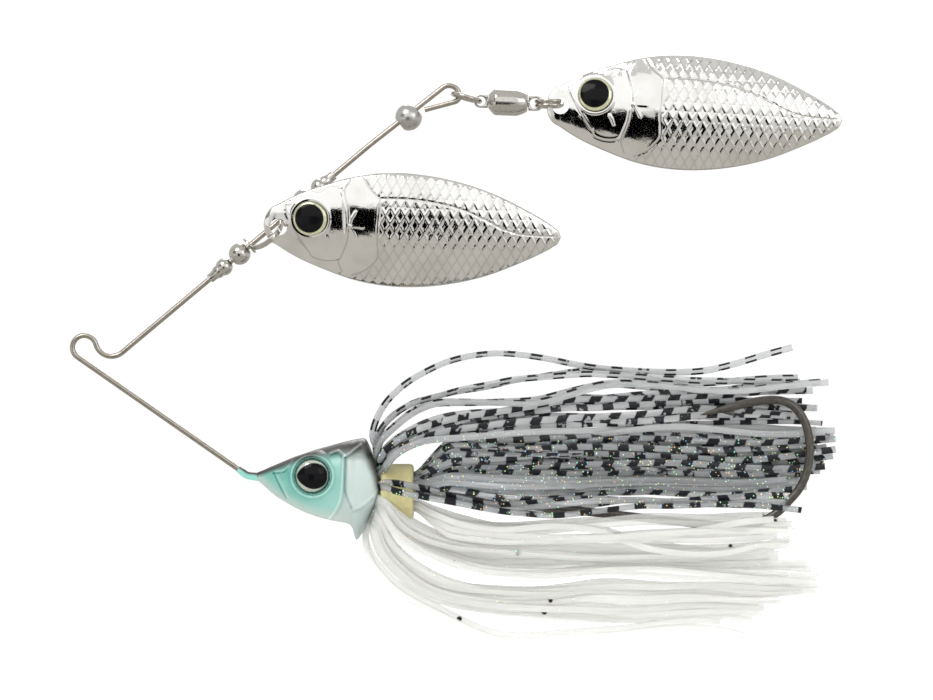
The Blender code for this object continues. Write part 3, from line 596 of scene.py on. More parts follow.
def eye_shape(x_flat, x_round, half_z, thick, hole_x, hole_r, shank):
    """A flat tongue with a rounded end, a hole and eased edges, with its turned shank."""
    sign = 1.0 if x_round > x_flat else -1.0
    cx, n = x_round - sign * half_z, 72

    def edge(inset):
        ring = []
        for k in range(n):
            a = 2 * math.pi * k / n
            c, s = math.cos(a), math.sin(a)
            hz = half_z - inset
            best = 1e9
            for wall in ((hz / abs(s)) if abs(s) > 1e-9 else 1e9,):
                best = min(best, wall)
            flat = x_flat + sign * inset
            if c * sign < -1e-9:
                best = min(best, (flat - hole_x) / c)
            b = (hole_x - cx) * c
            disc = b * b - ((hole_x - cx) ** 2 - hz * hz)
            if disc > 0:
                r = -b + math.sqrt(disc)
                if (hole_x + r * c - cx) * sign > 0:
                    best = min(best, r)
            ring.append((hole_x + best * c, best * s))
        return ring

    hole = lambda r: [(hole_x + r * math.cos(2 * math.pi * k / n), r * math.sin(2 * math.pi * k / n)) for k in range(n)]
    t, e = thick / 2, 0.10
    layers = [(hole(hole_r), -t + e), (hole(hole_r + e * 0.4), -t + e * 0.4), (hole(hole_r + e), -t), (edge(e), -t),
              (edge(e * 0.35), -t + e * 0.35), (edge(0.0), -t + e), (edge(0.0), t - e), (edge(e * 0.35), t - e * 0.35),
              (edge(e), t), (hole(hole_r + e), t), (hole(hole_r + e * 0.4), t - e * 0.4), (hole(hole_r), t - e)]
    parts = Parts().add(*loft([[(x, y, z) for x, z in ring] for ring, y in layers], closed=True))
    parts.add(*turned(shank, 40))
    return parts.v, parts.f


front = eye_shape(-3.05, -5.20, 0.98, 0.60, -4.13, 0.72, [
    (-3.22, 0.02), (-3.22, 0.58), (-1.30, 0.58), (-1.30, 1.15), (-0.75, 1.15), (-0.60, 0.95), (-0.60, 0.02)])
simple("swivel_eye_front", front, SWIVEL, TURN, NICKEL, "swivel_body", ["swivel_front_eye"])
rear = eye_shape(3.10, 5.38, 1.12, 0.60, 3.92 + 0.16, 0.80, [
    (3.25, 0.02), (3.25, 0.58), (0.62, 0.58), (0.62, 1.15), (0.10, 1.15), (-0.05, 0.95), (-0.05, 0.02)])
simple("swivel_eye_rear", rear, SWIVEL, TURN, NICKEL, "swivel_tail", ["swivel_rear_eye"])
for k in range(6):
    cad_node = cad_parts[f"bearing_ball_{k + 1}"]
    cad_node.data.materials.clear()
    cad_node.data.materials.append(BEARING.m)

split = []
for a in np.linspace(35, 685, 260):
    lift = math.sin(max(-1.0, min(1.0, (a - 360) / 30)) * math.pi / 2)
    split.append((70.45 + 1.95 * math.cos(math.radians(a)), 1.95 * math.sin(math.radians(a)), 36.93 + 0.33 * lift))
v, f, uv = tube(split, 0.30, 20)
build("split_coil", v, f, RING, "split_ring", ["split_ring"], uv=uv)

# ---------------------------------------------------------------- hook
HOOK_PATH = [
    (34.9, -19.90), (38.0, -20.60), (45.5, -21.50), (60.0, -23.10), (82.2, -25.55), (97.8, -27.20), (101.2, -26.90),
    (104.6, -25.30), (106.9, -23.10), (108.5, -21.10), (109.6, -18.30), (109.9, -14.80), (109.2, -11.40), (107.4, -8.90),
    (104.8, -7.95), (101.2, -8.30), (97.1, -9.30), (93.3, -10.25)]
bend = even(spline([(p[0], 0.0, p[1]) for p in HOOK_PATH], 10), 260)
left_over = np.linalg.norm(bend - bend[-1], axis=1)
taper = np.where(np.arange(len(bend)) > 200, np.clip(left_over / 5.0, 0, 1), 1.0)
radii = 0.65 * np.sqrt(np.clip(taper, 0.0, 1.0)) ** 1.15
radii = np.maximum(radii, 0.035)
v, f, uv = tube([tuple(p) for p in bend], list(radii), 32)
parts = Parts().add(v, f)
ring = [[(33.3 + (1.60 + 0.55 * math.cos(b)) * math.cos(a), 0.55 * math.sin(b), -19.7 + (1.60 + 0.55 * math.cos(b)) * math.sin(a))
         for b in (2 * math.pi * j / 20 for j in range(20))] for a in (2 * math.pi * i / 48 for i in range(48))]
parts.add(*loft(ring, closed=True))
barb = []
for x, z0, z1, w in ((95.3, -9.62, -9.64, 0.02), (96.2, -9.45, -9.86, 0.14), (97.2, -9.40, -10.14, 0.16), (98.1, -9.40, -10.34, 0.12), (98.5, -9.5, -10.42, 0.03)):
    barb.append([(x, w * math.cos(a), (z0 + z1) / 2 + (z0 - z1) / 2 * math.sin(a)) for a in np.linspace(0, 2 * math.pi, 13)[:-1]])
parts.add(*loft(barb))
build("hook_form", parts.v, parts.f, HOOK, "lure_frame", ["hook"])

# ---------------------------------------------------------------- blades
L, W_MAX, CROWN_H, T = 44.9, 8.72, 2.2, 0.5
OUTLINE = [
    (0.0, 0.0), (0.004, 1.05), (0.011, 1.75), (0.022, 2.45), (0.046, 3.10), (0.10, 4.50), (0.21, 6.55), (0.32, 8.05),
    (0.45, 8.72), (0.53, 8.60), (0.62, 8.05), (0.75, 6.50), (0.87, 4.15), (0.94, 2.50), (0.975, 1.50), (0.993, 0.75), (1.0, 0.0)]
CROWN = soft_line([(3.23, 2.3), (3.3, 3.31), (3.75, 3.65), (4.66, 4.08), (5.7, 4.88), (6.91, 5.29), (8.16, 5.12), (8.77, 5.39), (9.51, 5.94), (10.58, 6.23), (11.52, 5.97), (12.09, 5.49)], 3)
MOUTH = [(3.23, 2.3), (3.73, 1.25), (4.74, -0.4), (5.59, -1.75), (6.76, -3.39)]
JAW = soft_line([(5.21, -1.77), (6.6, -3.24), (7.13, -3.83), (7.47, -4.47), (8.7, -4.91), (9.95, -5.0), (11.48, -4.76)], 3)
GILL = soft_line([(13.13, 7.79), (12.7, 7.0), (12.27, 6.35), (12.08, 5.57), (12.38, 4.35), (12.7, 2.82), (12.87, 1.12), (12.88, -0.58), (12.72, -1.83), (12.32, -3.09), (11.78, -4.51), (11.48, -4.76), (11.68, -5.6), (12.13, -6.66)], 3)
FIELD = soft_line([(14.83, 7.81), (15.51, 6.68), (16.33, 5.8), (17.38, 4.93), (17.37, 3.69), (17.3, 2.14), (17.23, 0.58), (17.24, -0.96), (17.42, -2.81), (17.47, -3.89), (17.05, -4.69), (16.03, -5.83), (14.98, -6.51), (13.62, -7.12)], 3)
FIN = [[(12.95, 0.75), (13.55, 0.0), (14.20, -1.25)], [(13.0, 0.7), (13.25, 1.7), (13.85, 2.75)], [(13.0, 0.65), (14.6, 0.62), (15.1, 0.62)]]
CHEEK = [(9.58, -1.15), (9.92, -1.67), (10.28, -2.5)]
LATERAL = soft_line([(17.38, 4.95), (21.19, 5.06), (24.6, 4.85), (27.73, 4.37), (29.29, 3.99), (30.87, 3.49), (32.46, 2.8), (34.04, 2.11), (35.64, 1.27), (37.21, 0.74), (38.78, 0.36), (41.89, 0.19), (44.67, 0.21)], 3)


def relief(u, w, edge, eye):
    """Height of the stamping above the cupped sheet at (u, w), in mm, and a painted-shade mask that darkens its
    grooves, scale borders and rim.
    """
    g = lambda d, s: np.exp(-((d / s) ** 2))
    h = np.zeros_like(u)
    r = np.hypot(u - eye[0], w - eye[1])
    face = 1 - g(np.maximum(r - 3.1, 0), 0.35) * (r < 3.9) * 0.0
    for line, depth, lip, du, dw in ((CROWN, 0.05, 0.035, -0.12, -0.28), (MOUTH, 0.06, 0.055, 0.28, 0.10), (JAW, 0.05, 0.03, 0.0, 0.28),
                                     (GILL, 0.055, 0.085, -0.34, 0.0), (FIELD, 0.05, 0.03, -0.30, 0.0)):
        h -= face * depth * g(from_line(u, w, line), 0.13)
        h += face * lip * g(from_line(u, w, [(a + du, b + dw) for a, b in line]), 0.24)
    for line, tall in ((FIN[0], 0.09), (FIN[1], 0.09), (FIN[2], 0.06), (CHEEK, 0.09)):
        h += tall * g(from_line(u, w, line), 0.16)
    h = np.where(r < 3.5, h * step(r, 3.0, 3.5), h)
    h += 0.09 * g(r - 2.92, 0.24)
    front = np.interp(w, [p[1] for p in FIELD[::-1]], [p[0] for p in FIELD[::-1]])
    field = step(u, front + 0.05, front + 0.55) * step(L - u, 0.3, 1.2)
    rim = step(edge - np.abs(w), 0.12, 0.75)
    hx, hy = 1.47, 1.27
    q1, q2 = u / hx + w / (2 * hy), u / hx - w / (2 * hy)
    f1, f2 = np.abs(q1 - np.round(q1)), np.abs(q2 - np.round(q2))
    s1, s2 = q1 - np.round(q1), q2 - np.round(q2)
    border = np.minimum(0.5 - f1, 0.5 - f2) * hx
    tile = 0.022 * (s1 + s2) * step(border, 0.0, 0.22)
    dome = 0.034 * (1 - (2 * f1) ** 2) * (1 - (2 * f2) ** 2)
    scales = tile + dome + 0.115 * g(border, 0.20)
    line = from_line(u, w, LATERAL)
    scales = scales * step(line, 0.05, 0.22) - 0.025 * g(line, 0.10)
    # painted shade: the scale borders and lateral line, then the face lines and the rim, get a darker base colour on
    # the chrome
    painted_relief_shading = 0.34 * np.maximum(g(border, 0.11), g(line, 0.10)) * field * step(edge - np.abs(w), 0.10, 0.40)
    for line in (CROWN, MOUTH, JAW, GILL, FIELD):
        painted_relief_shading = np.maximum(painted_relief_shading, 0.60 * g(from_line(u, w, line), 0.085) * (r > 2.75))
    painted_relief_shading = np.maximum(painted_relief_shading, 0.75 * g(np.minimum(edge - np.abs(w), np.minimum(u, L - u) * 1.2), 0.10))
    h += 0.010 * np.sin(1.9 * u + 1.2 * w) * np.sin(1.6 * w - 0.7 * u + 0.8)
    return h + field * rim * scales, painted_relief_shading


def blade(name, nose, turn, roll, y_edge, hole, eye, body, nodes):
    nu, nw = 330, 124
    t = np.linspace(0, 1, nu)
    s = 0.70 * t + 0.30 * (1 - np.cos(np.pi * t)) / 2
    s = np.clip(s, 0.0006, 0.9994)
    j = np.linspace(-1, 1, nw + 1)
    across = 0.80 * j + 0.20 * np.sin(j * np.pi / 2)
    edge = np.maximum(smooth_table(OUTLINE, s), 0.03)
    u = np.repeat((s * L)[:, None], nw + 1, 1)
    w = edge[:, None] * across[None, :]
    e = np.repeat(edge[:, None], nw + 1, 1)
    depth = CROWN_H * (np.minimum(e, W_MAX) / W_MAX) ** 1.3
    middle = -depth * (1 - np.minimum(np.abs(w) / e, 1) ** 2)
    h, painted_relief_shading = relief(u, w, e, eye)
    inset = np.minimum(e - np.abs(w), np.minimum(u, L - u) * 1.4)
    half_t = T / 2 * np.sqrt(1 - np.clip(1 - inset / (T / 2), 0, 1) ** 2)
    half_t = np.maximum(half_t, 0.03)
    shells = [middle - half_t - h, middle + half_t - 0.75 * h]
    # the hole: faces inside it go, and the ring that is left is drawn onto the circle
    r = np.hypot(u - hole[0], w - hole[1])
    n = nw + 1
    index = lambda i, k, side: side * nu * n + i * n + k
    gone = r < 1.30
    pos = [[], []]
    uu, ww = u.copy(), w.copy()
    cell = gone[:-1, :-1] | gone[1:, :-1] | gone[:-1, 1:] | gone[1:, 1:]
    touching = np.zeros_like(gone)
    touching[:-1, :-1] |= cell
    touching[1:, :-1] |= cell
    touching[:-1, 1:] |= cell
    touching[1:, 1:] |= cell
    ring = touching & ~gone
    a = np.arctan2(w - hole[1], u - hole[0])
    uu[ring] = hole[0] + 1.30 * np.cos(a[ring])
    ww[ring] = hole[1] + 1.30 * np.sin(a[ring])
    co, sn = math.cos(math.radians(roll)), math.sin(math.radians(roll))
    verts = []
    for side, y in enumerate(shells):
        yy, zz = y * co - ww * sn, y * sn + ww * co
        p = placed(np.stack([uu.ravel(), yy.ravel(), zz.ravel()], 1), (nose[0], y_edge, nose[1]), turn)
        verts.append(p)
    verts = np.concatenate(verts)
    faces = []
    for side in (0, 1):
        for i in range(nu - 1):
            for k in range(nw):
                if not cell[i, k]:
                    faces.append([index(i, k, side), index(i, k + 1, side), index(i + 1, k + 1, side), index(i + 1, k, side)])
    edges = {}
    for face in faces[: len(faces) // 2]:
        for p, q in zip(face, face[1:] + face[:1]):
            key = (min(p, q), max(p, q))
            edges[key] = edges.get(key, 0) + 1
    total = nu * n
    for (p, q), count in edges.items():
        if count == 1:
            faces.append([p, q, q + total, p + total])
    used = np.zeros(len(verts), bool)
    used[[i for face in faces for i in face]] = True
    remap = np.cumsum(used) - 1
    faces = [[int(remap[i]) for i in face] for face in faces]
    # the back face carries the same painted shade at 0.6 strength
    painted_relief_shading = np.concatenate([painted_relief_shading.ravel(), painted_relief_shading.ravel() * 0.6])[used]
    return build(name, verts[used], faces, CHROME, body, nodes, floats={"painted_relief_shading": painted_relief_shading}, crease=60)


def dome_eye(name, place, base, crown, radius, pupil, colours, body, nodes):
    """A domed disc: base(x, z) is the height its back follows, crown the rise at its middle. place puts (x, z, height) in the frame."""
    n, rings = 72, 34
    verts, tints, shines = [], [], []
    for side in (1, 0):
        for i in range(rings + 1):
            r = radius * (i / rings) if side else radius * (1 - i / rings)
            for k in range(n):
                a = 2 * math.pi * k / n
                x, z = r * math.cos(a), r * math.sin(a)
                if side:
                    f = (r / radius) ** 2
                    edge = math.sqrt(max(0.0, 1 - max(0.0, (r - radius + 0.16) / 0.16) ** 2))
                    lift = 0.16 + 0.26 * edge + (crown - 0.42) * (1 - f) ** 0.8
                    if r > radius - 1e-9:
                        lift = 0.17
                else:
                    lift = 0.16
                verts.append(place(x, z, base(x, z) + lift))
                inside = pupil(x, z)
                rim = 1 - 0.75 * max(0.0, min(1.0, (r - radius + 0.14) / 0.10))
                tints.append(tuple(np.array(colours[0]) * inside + np.array(colours[1]) * (1 - inside) * rim))
                shines.append((1 - inside) * 0.65)
    total = (rings + 1) * 2
    faces = []
    for i in range(total - 1):
        if i == rings:
            continue
        for k in range(n):
            j = (k + 1) % n
            faces.append([i * n + k, i * n + j, (i + 1) * n + j, (i + 1) * n + k])
    a0, b0 = rings * n, (rings + 1) * n
    for k in range(n):
        j = (k + 1) % n
        faces.append([a0 + k, a0 + j, b0 + j, b0 + k])
    made = build(name, verts, faces, EYE, body, nodes, floats={"shine": shines}, colours={"tint": tints}, crease=60)
    bm = bmesh.new()
    bm.from_mesh(made.data)
    bmesh.ops.remove_doubles(bm, verts=bm.verts, dist=1e-8)
    bmesh.ops.recalc_face_normals(bm, faces=bm.faces)
    bm.to_mesh(made.data)
    bm.free()
    return made


def blade_eye(name, nose, turn, roll, y_edge, at, body, nodes):
    co, sn = math.cos(math.radians(roll)), math.sin(math.radians(roll))

    def base(x, z):
        u, w = at[0] + x, at[1] + z
        edge = float(smooth_table(OUTLINE, np.array([u / L]))[0])
        depth = CROWN_H * (min(edge, W_MAX) / W_MAX) ** 1.3
        return depth * (1 - min(abs(w) / edge, 1) ** 2) + T / 2

    def place(x, z, height):
        u, w, y = at[0] + x, at[1] + z, -height
        yy, zz = y * co - w * sn, y * sn + w * co
        return tuple(placed([(u, yy, zz)], (nose[0], y_edge, nose[1]), turn)[0])

    def pupil(x, z):
        return 1 - step(np.hypot(x + 0.10, z - 0.10), 2.14, 2.22)

    return dome_eye(name, place, base, 0.95, 2.60, pupil, ((0.005, 0.005, 0.006), (0.78, 0.78, 0.54)), body, nodes)


FRONT = dict(nose=(27.29, 18.60), turn=-2.6, roll=12.0, y_edge=-2.45)
REAR = dict(nose=(70.02, 36.73), turn=-3.1, roll=0.0, y_edge=0.40)
blade("blade_front", **FRONT, hole=(2.30, -0.25), eye=(7.05, 1.41), body="front_blade", nodes=["front_blade"])
blade("blade_rear", **REAR, hole=(2.12, 0.0), eye=(7.23, 1.93), body="rear_blade", nodes=["rear_blade"])
blade_eye("blade_front_eye", **FRONT, at=(7.05, 1.41), body="front_blade", nodes=["front_blade_eye"])
blade_eye("blade_rear_eye", **REAR, at=(7.23, 1.93), body="rear_blade", nodes=["rear_blade_eye"])

# ---------------------------------------------------------------- head
TOP = [(26.1, -19.05), (26.3, -18.89), (27.21, -18.55), (28.12, -18.12), (29.94, -17.36), (31.76, -16.60), (33.58, -15.98),
       (35.39, -15.39), (37.21, -14.90), (39.03, -14.38), (40.6, -14.02), (41.6, -13.82), (42.3, -13.73), (42.55, -13.80), (42.82, -14.08),
       (43.35, -15.20), (43.88, -16.56), (44.40, -18.10), (44.88, -19.89), (45.02, -20.75), (45.08, -21.10)]
BOTTOM = [(26.1, -20.05), (26.3, -20.20), (27.21, -20.95), (28.12, -21.80), (29.03, -22.52), (29.94, -23.14), (31.76, -24.20),
          (33.58, -25.07), (35.39, -25.72), (37.21, -26.18), (38.6, -26.45), (39.6, -26.60), (40.3, -26.90), (40.65, -27.40), (40.90, -28.50),
          (41.08, -29.05), (41.28, -29.22), (41.55, -28.95), (42.27, -27.95), (43.10, -26.25), (43.88, -24.50), (44.45, -23.1), (44.88, -21.98), (45.02, -21.55), (45.08, -21.35)]
WIDTH = [(26.1, 0.60), (27.2, 1.20), (28.1, 1.85), (29.9, 2.80), (31.8, 3.50), (33.6, 4.05), (35.4, 4.45), (37.2, 4.70), (39.0, 4.88),
         (40.2, 4.95), (41.2, 4.97), (42.3, 4.90), (43.1, 4.70), (43.9, 4.35), (44.5, 3.75), (44.9, 2.70), (45.08, 1.70)]
GILL_LINE = [(39.40, -15.9), (39.42, -18.7), (39.32, -21.19), (39.0, -23.04), (38.25, -24.59), (37.3, -25.9)]
HEAD_EYE = (34.70, -19.34)


def head_tint(x, z, top, bottom):
    mint, aqua = np.array((0.375, 0.72, 0.63)), np.array((0.19, 0.56, 0.475))
    brown, pale, belly = np.array((0.045, 0.038, 0.032)), np.array((0.56, 0.68, 0.65)), np.array((0.63, 0.70, 0.66))
    shape = lambda m: np.asarray(m)[..., None]
    colour = shape(np.ones_like(x)) * mint
    r = np.hypot(x - HEAD_EYE[0], z - HEAD_EYE[1])
    m = np.clip((1 - step(x, 29.5, 39.5)) * 0.75 + 0.35 * np.exp(-((r - 3.5) / 1.0) ** 2), 0, 1)
    colour = colour + (aqua - colour) * shape(m)
    behind = np.interp(z, [p[1] for p in GILL_LINE[::-1]], [p[0] for p in GILL_LINE[::-1]])
    colour = colour + (pale - colour) * shape(step(x - behind, -0.5, 0.5))
    colour = colour + (belly - colour) * shape((1 - step(z - bottom, 0.3, 2.4)) * 0.75 * (1 - step(x, 39.5, 41.0)))
    colour = colour + (np.array((0.49, 0.575, 0.56)) - colour) * shape(step(x, 40.2, 41.0) * (1 - step(z, -27.6, -25.2)) * 0.7)
    deep = np.interp(x, [26, 30, 34, 38, 41, 43], [0.45, 0.75, 0.75, 1.15, 1.6, 2.2])
    wide = np.interp(x, [26, 30, 34, 38, 41, 43], [1.0, 1.5, 1.5, 2.6, 3.7, 5.0])
    back = 1 - step(top - z, deep * 0.45, wide)
    colour = colour + (brown - colour) * shape(back**1.25)
    # painted shade: the head's upper rear edge is darkened towards dark brown
    painted_rear_edge_shade = step(x, 44.0, 44.9) * step(z, -22.0, -18.5)
    colour = colour + (np.array((0.10, 0.085, 0.07)) - colour) * shape(painted_rear_edge_shade * 0.85)
    return np.clip(colour * 0.77, 0, 1)


def head():
    nx, nk = 260, 176
    xs = np.linspace(0, 1, nx)
    xs = 26.1 + (45.08 - 26.1) * (0.72 * xs + 0.28 * (1 - np.cos(np.pi * xs)) / 2)
    top, bottom = np.interp(xs, *zip(*TOP)), np.interp(xs, *zip(*BOTTOM))
    kernel = np.array([1, 2, 3, 2, 1]) / 9.0
    pad = lambda q: np.convolve(np.pad(q, 2, mode="edge"), kernel, mode="valid")
    top, bottom = pad(top), pad(bottom)
    wide = smooth_table(WIDTH, xs)
    a = 2 * np.pi * np.arange(nk) / nk
    c, s = np.cos(a), np.sin(a)
    e = 2 / 2.15
    cc, ss = np.sign(c) * np.abs(c) ** e, np.sign(s) * np.abs(s) ** e
    x = np.repeat(xs[:, None], nk, 1)
    z = (top + bottom)[:, None] / 2 + (top - bottom)[:, None] / 2 * cc[None]
    y = wide[:, None] * ss[None]
    sign, flat = np.where(ss >= 0, 1.0, -1.0)[None], np.abs(ss)[None]
    facing = step(flat, 0.15, 0.7) * np.ones_like(x)
    g = lambda d, w: np.exp(-((d / w) ** 2))
    line = lambda points: from_line(x, z, soft_line(points, 3))
    lift = np.zeros_like(x)
    ridge = [(39.38, -16.47), (39.3, -18.71), (39.19, -21.19), (38.88, -23.04), (38.11, -24.59), (37.18, -25.83)]
    lift += 0.20 * g(line(ridge), 0.16)
    lift -= 0.17 * g(line([(39.66, -16.6), (39.69, -17.5), (39.62, -21.19), (39.96, -22.58), (40.66, -24.28)]), 0.17)
    lift -= 0.07 * g(line([(39.5, -21.5), (39.25, -23.1), (38.5, -24.7), (37.5, -26.0)]), 0.18)
    lift += 0.10 * g(line([(40.66, -24.44), (42.13, -23.82), (43.67, -22.58), (44.79, -21.27)]), 0.22)
    lift -= 0.09 * g(line([(40.75, -24.75), (42.2, -24.15), (43.75, -22.95)]), 0.20)
    lift += 0.24 * g(line([(37.40, -15.95), (38.42, -15.58), (39.04, -15.85), (39.50, -16.30)]), 0.17)
    lift -= 0.14 * g(line([(37.49, -16.25), (38.42, -15.95), (38.95, -16.2), (39.2, -16.5)]), 0.16)
    lift += 0.24 * g(line([(39.60, -16.32), (40.27, -15.93), (41.05, -15.31), (41.97, -14.62)]), 0.17)
    lift -= 0.14 * g(line([(39.95, -16.5), (40.5, -16.2), (41.3, -15.6), (42.0, -15.1)]), 0.16)
    lift += 0.18 * g(line([(29.0, -18.75), (30.07, -18.62), (30.53, -18.36), (31.18, -17.79)]), 0.15)
    lift -= 0.10 * g(line([(28.8, -19.02), (30.1, -18.92), (30.7, -18.60)]), 0.14)
    lift -= 0.16 * g(line([(28.75, -19.0), (28.95, -19.25), (29.3, -19.95), (29.91, -21.19), (30.69, -22.73)]), 0.13)
    lift += 0.12 * g(line([(29.15, -19.2), (29.60, -19.95), (30.2, -21.1), (30.95, -22.5)]), 0.14)
    lift += 0.07 * g(line([(30.2, -20.3), (30.84, -21.6)]), 0.14)
    plate = step(x, 39.7, 40.3) * step(z, -24.6, -23.4) * (1 - step(z, -17.2, -16.2)) * step(44.6 - x, 0.0, 0.8)
    lift += 0.10 * plate
    r = np.hypot(x - HEAD_EYE[0], z - HEAD_EYE[1])
    lift = np.where(r < 3.9, lift * step(r, 3.4, 3.9), lift)
    lift *= 1.6
    lift += 0.20 * g(r - 3.14, 0.15) - 0.22 * g(r - 2.86, 0.12)
    y = y + sign * lift * facing
    size = np.abs(y)
    boss = 3.98 + 0.10 * g(r - 3.14, 0.16) - 0.16 * g(r - 2.86, 0.12) - 1.9 * np.maximum(0, r - 3.24) ** 1.25
    boss = np.where(r < 3.9, boss, -9.0)
    soft = 0.10
    raised = soft * np.logaddexp(size / soft, boss / soft)
    size = np.where((r < 3.9) & (flat > 0.25), raised, size)
    seat = 1 - step(r, 2.60, 2.76)
    size = np.where(flat > 0.25, size * (1 - seat) + np.minimum(size, 3.46) * seat, size)
    y = sign * size
    verts = np.stack([x.ravel(), y.ravel(), z.ravel()], 1)
    faces = strip_faces(nx, nk)
    ends = [np.append(verts[:nk].mean(0)[None], [], axis=0)] if False else []
    v = [tuple(p) for p in verts]
    for first in (0, (nx - 1) * nk):
        v.append(tuple(verts[first:first + nk].mean(0)))
        faces += [[first + k, first + (k + 1) % nk, len(v) - 1] for k in range(nk)]
    tint = head_tint(x, z, np.repeat(top[:, None], nk, 1), np.repeat(bottom[:, None], nk, 1))
    # painted light on the head's relief: raised ridges get a painted highlight and sunk grooves a painted shade
    painted_relief_shading = lift / 1.6 * (flat > 0.2)
    tint = np.clip(tint * (1 + np.clip(painted_relief_shading, -0.4, 0)[..., None] * np.array((2.4, 1.4, 1.5))) + np.clip(painted_relief_shading, 0, 1)[..., None] * 0.95, 0, 1)
    # painted shade in the groove round the eye boss and faintly outside it, and a painted highlight on the boss rim
    # (the subtracted term lightens)
    painted_eye_ring_shading = np.exp(-(((r - 3.46) / 0.16) ** 2)) * 0.16 + np.exp(-(((r - 2.88) / 0.09) ** 2)) * 0.50 - np.exp(-(((r - 3.14) / 0.10) ** 2)) * 0.22
    tint = (tint * (1 - painted_eye_ring_shading[..., None] * np.array((1.0, 0.75, 0.75)))).reshape(-1, 3)
    tint = np.concatenate([tint, tint[:1], tint[-1:]])
    parts = Parts().add(v, faces, tint=[tuple(q) for q in tint])
    sleeve = spline([arm_line(23.3), arm_line(24.6), (25.7, 0, -19.55), (26.4, 0, -19.62), (27.4, 0, -19.7)], 10)
    sv, sf, _ = tube(sleeve, list(np.interp(np.linspace(0, 1, len(sleeve)), [0, 0.12, 0.5, 1], [0.46, 0.56, 0.62, 0.70])), 40)
    sv = [tuple(p) for p in sv]
    centre = np.array([tuple(p) for p in sleeve])
    st = []
    for p in sv:
        mid_z = np.interp(p[0], centre[:, 0], centre[:, 2])
        m = float(step(np.array(p[2] - mid_z), 0.05, 0.45))
        st.append(tuple(np.array((0.26, 0.62, 0.54)) * (1 - m) + np.array((0.055, 0.048, 0.04)) * m))
    parts.add(sv, sf, tint=st)
    keeper = [(-4.0, 0.4), (-4.0, 2.6), (3.5, 2.6), (3.8, 2.66), (4.05, 2.86), (4.3, 2.80), (4.75, 2.25), (4.9, 1.9), (4.9, 0.4)]
    kv, kf = turned(keeper, 64)
    kv = placed(kv, (45.0, 0, -21.85), 0)
    parts.add(kv, kf, tint=[(0.55, 0.56, 0.48)] * len(kv))
    return build("head_body", parts.v, parts.f, PAINT, "lure_frame", ["head_casting"], colours={"tint": parts.extra["tint"]}, crease=50)


head()
for tag, sign in (("left", -1.0), ("right", 1.0)):
    def pupil(x, z):
        fwd = x - 0.06
        power = np.where(fwd < 0, 1.45, 2.3)
        q = np.abs(fwd / np.where(fwd < 0, 2.44, 2.26)) ** power + np.abs(z / 2.00) ** np.where(fwd < 0, 1.75, 2.3)
        return float(1 - step(np.array(q), 0.93, 1.02))

    dome_eye(f"head_eye_dome_{tag}", lambda x, z, h, s=sign: (HEAD_EYE[0] + x, s * h, HEAD_EYE[1] + z), lambda x, z: 3.54,
             1.51, 2.50, pupil, ((0.005, 0.005, 0.006), (0.72, 0.76, 0.68)), "lure_frame", [f"head_eye_{tag}"])

# ---------------------------------------------------------------- collar
ring = [(44.95, 3.15), (45.0, 3.75), (45.15, 4.02), (45.5, 4.16), (46.0, 4.20), (49.2, 4.20), (49.55, 4.15), (49.78, 4.0), (49.9, 3.75),
        (49.9, 3.2), (49.7, 2.95), (45.3, 2.95)]
simple("collar_band", turned([(x - 45.0, r) for x, r in ring], 96), (45.0, 0, -21.85), 0, COLLAR, "lure_frame", ["skirt_collar"])

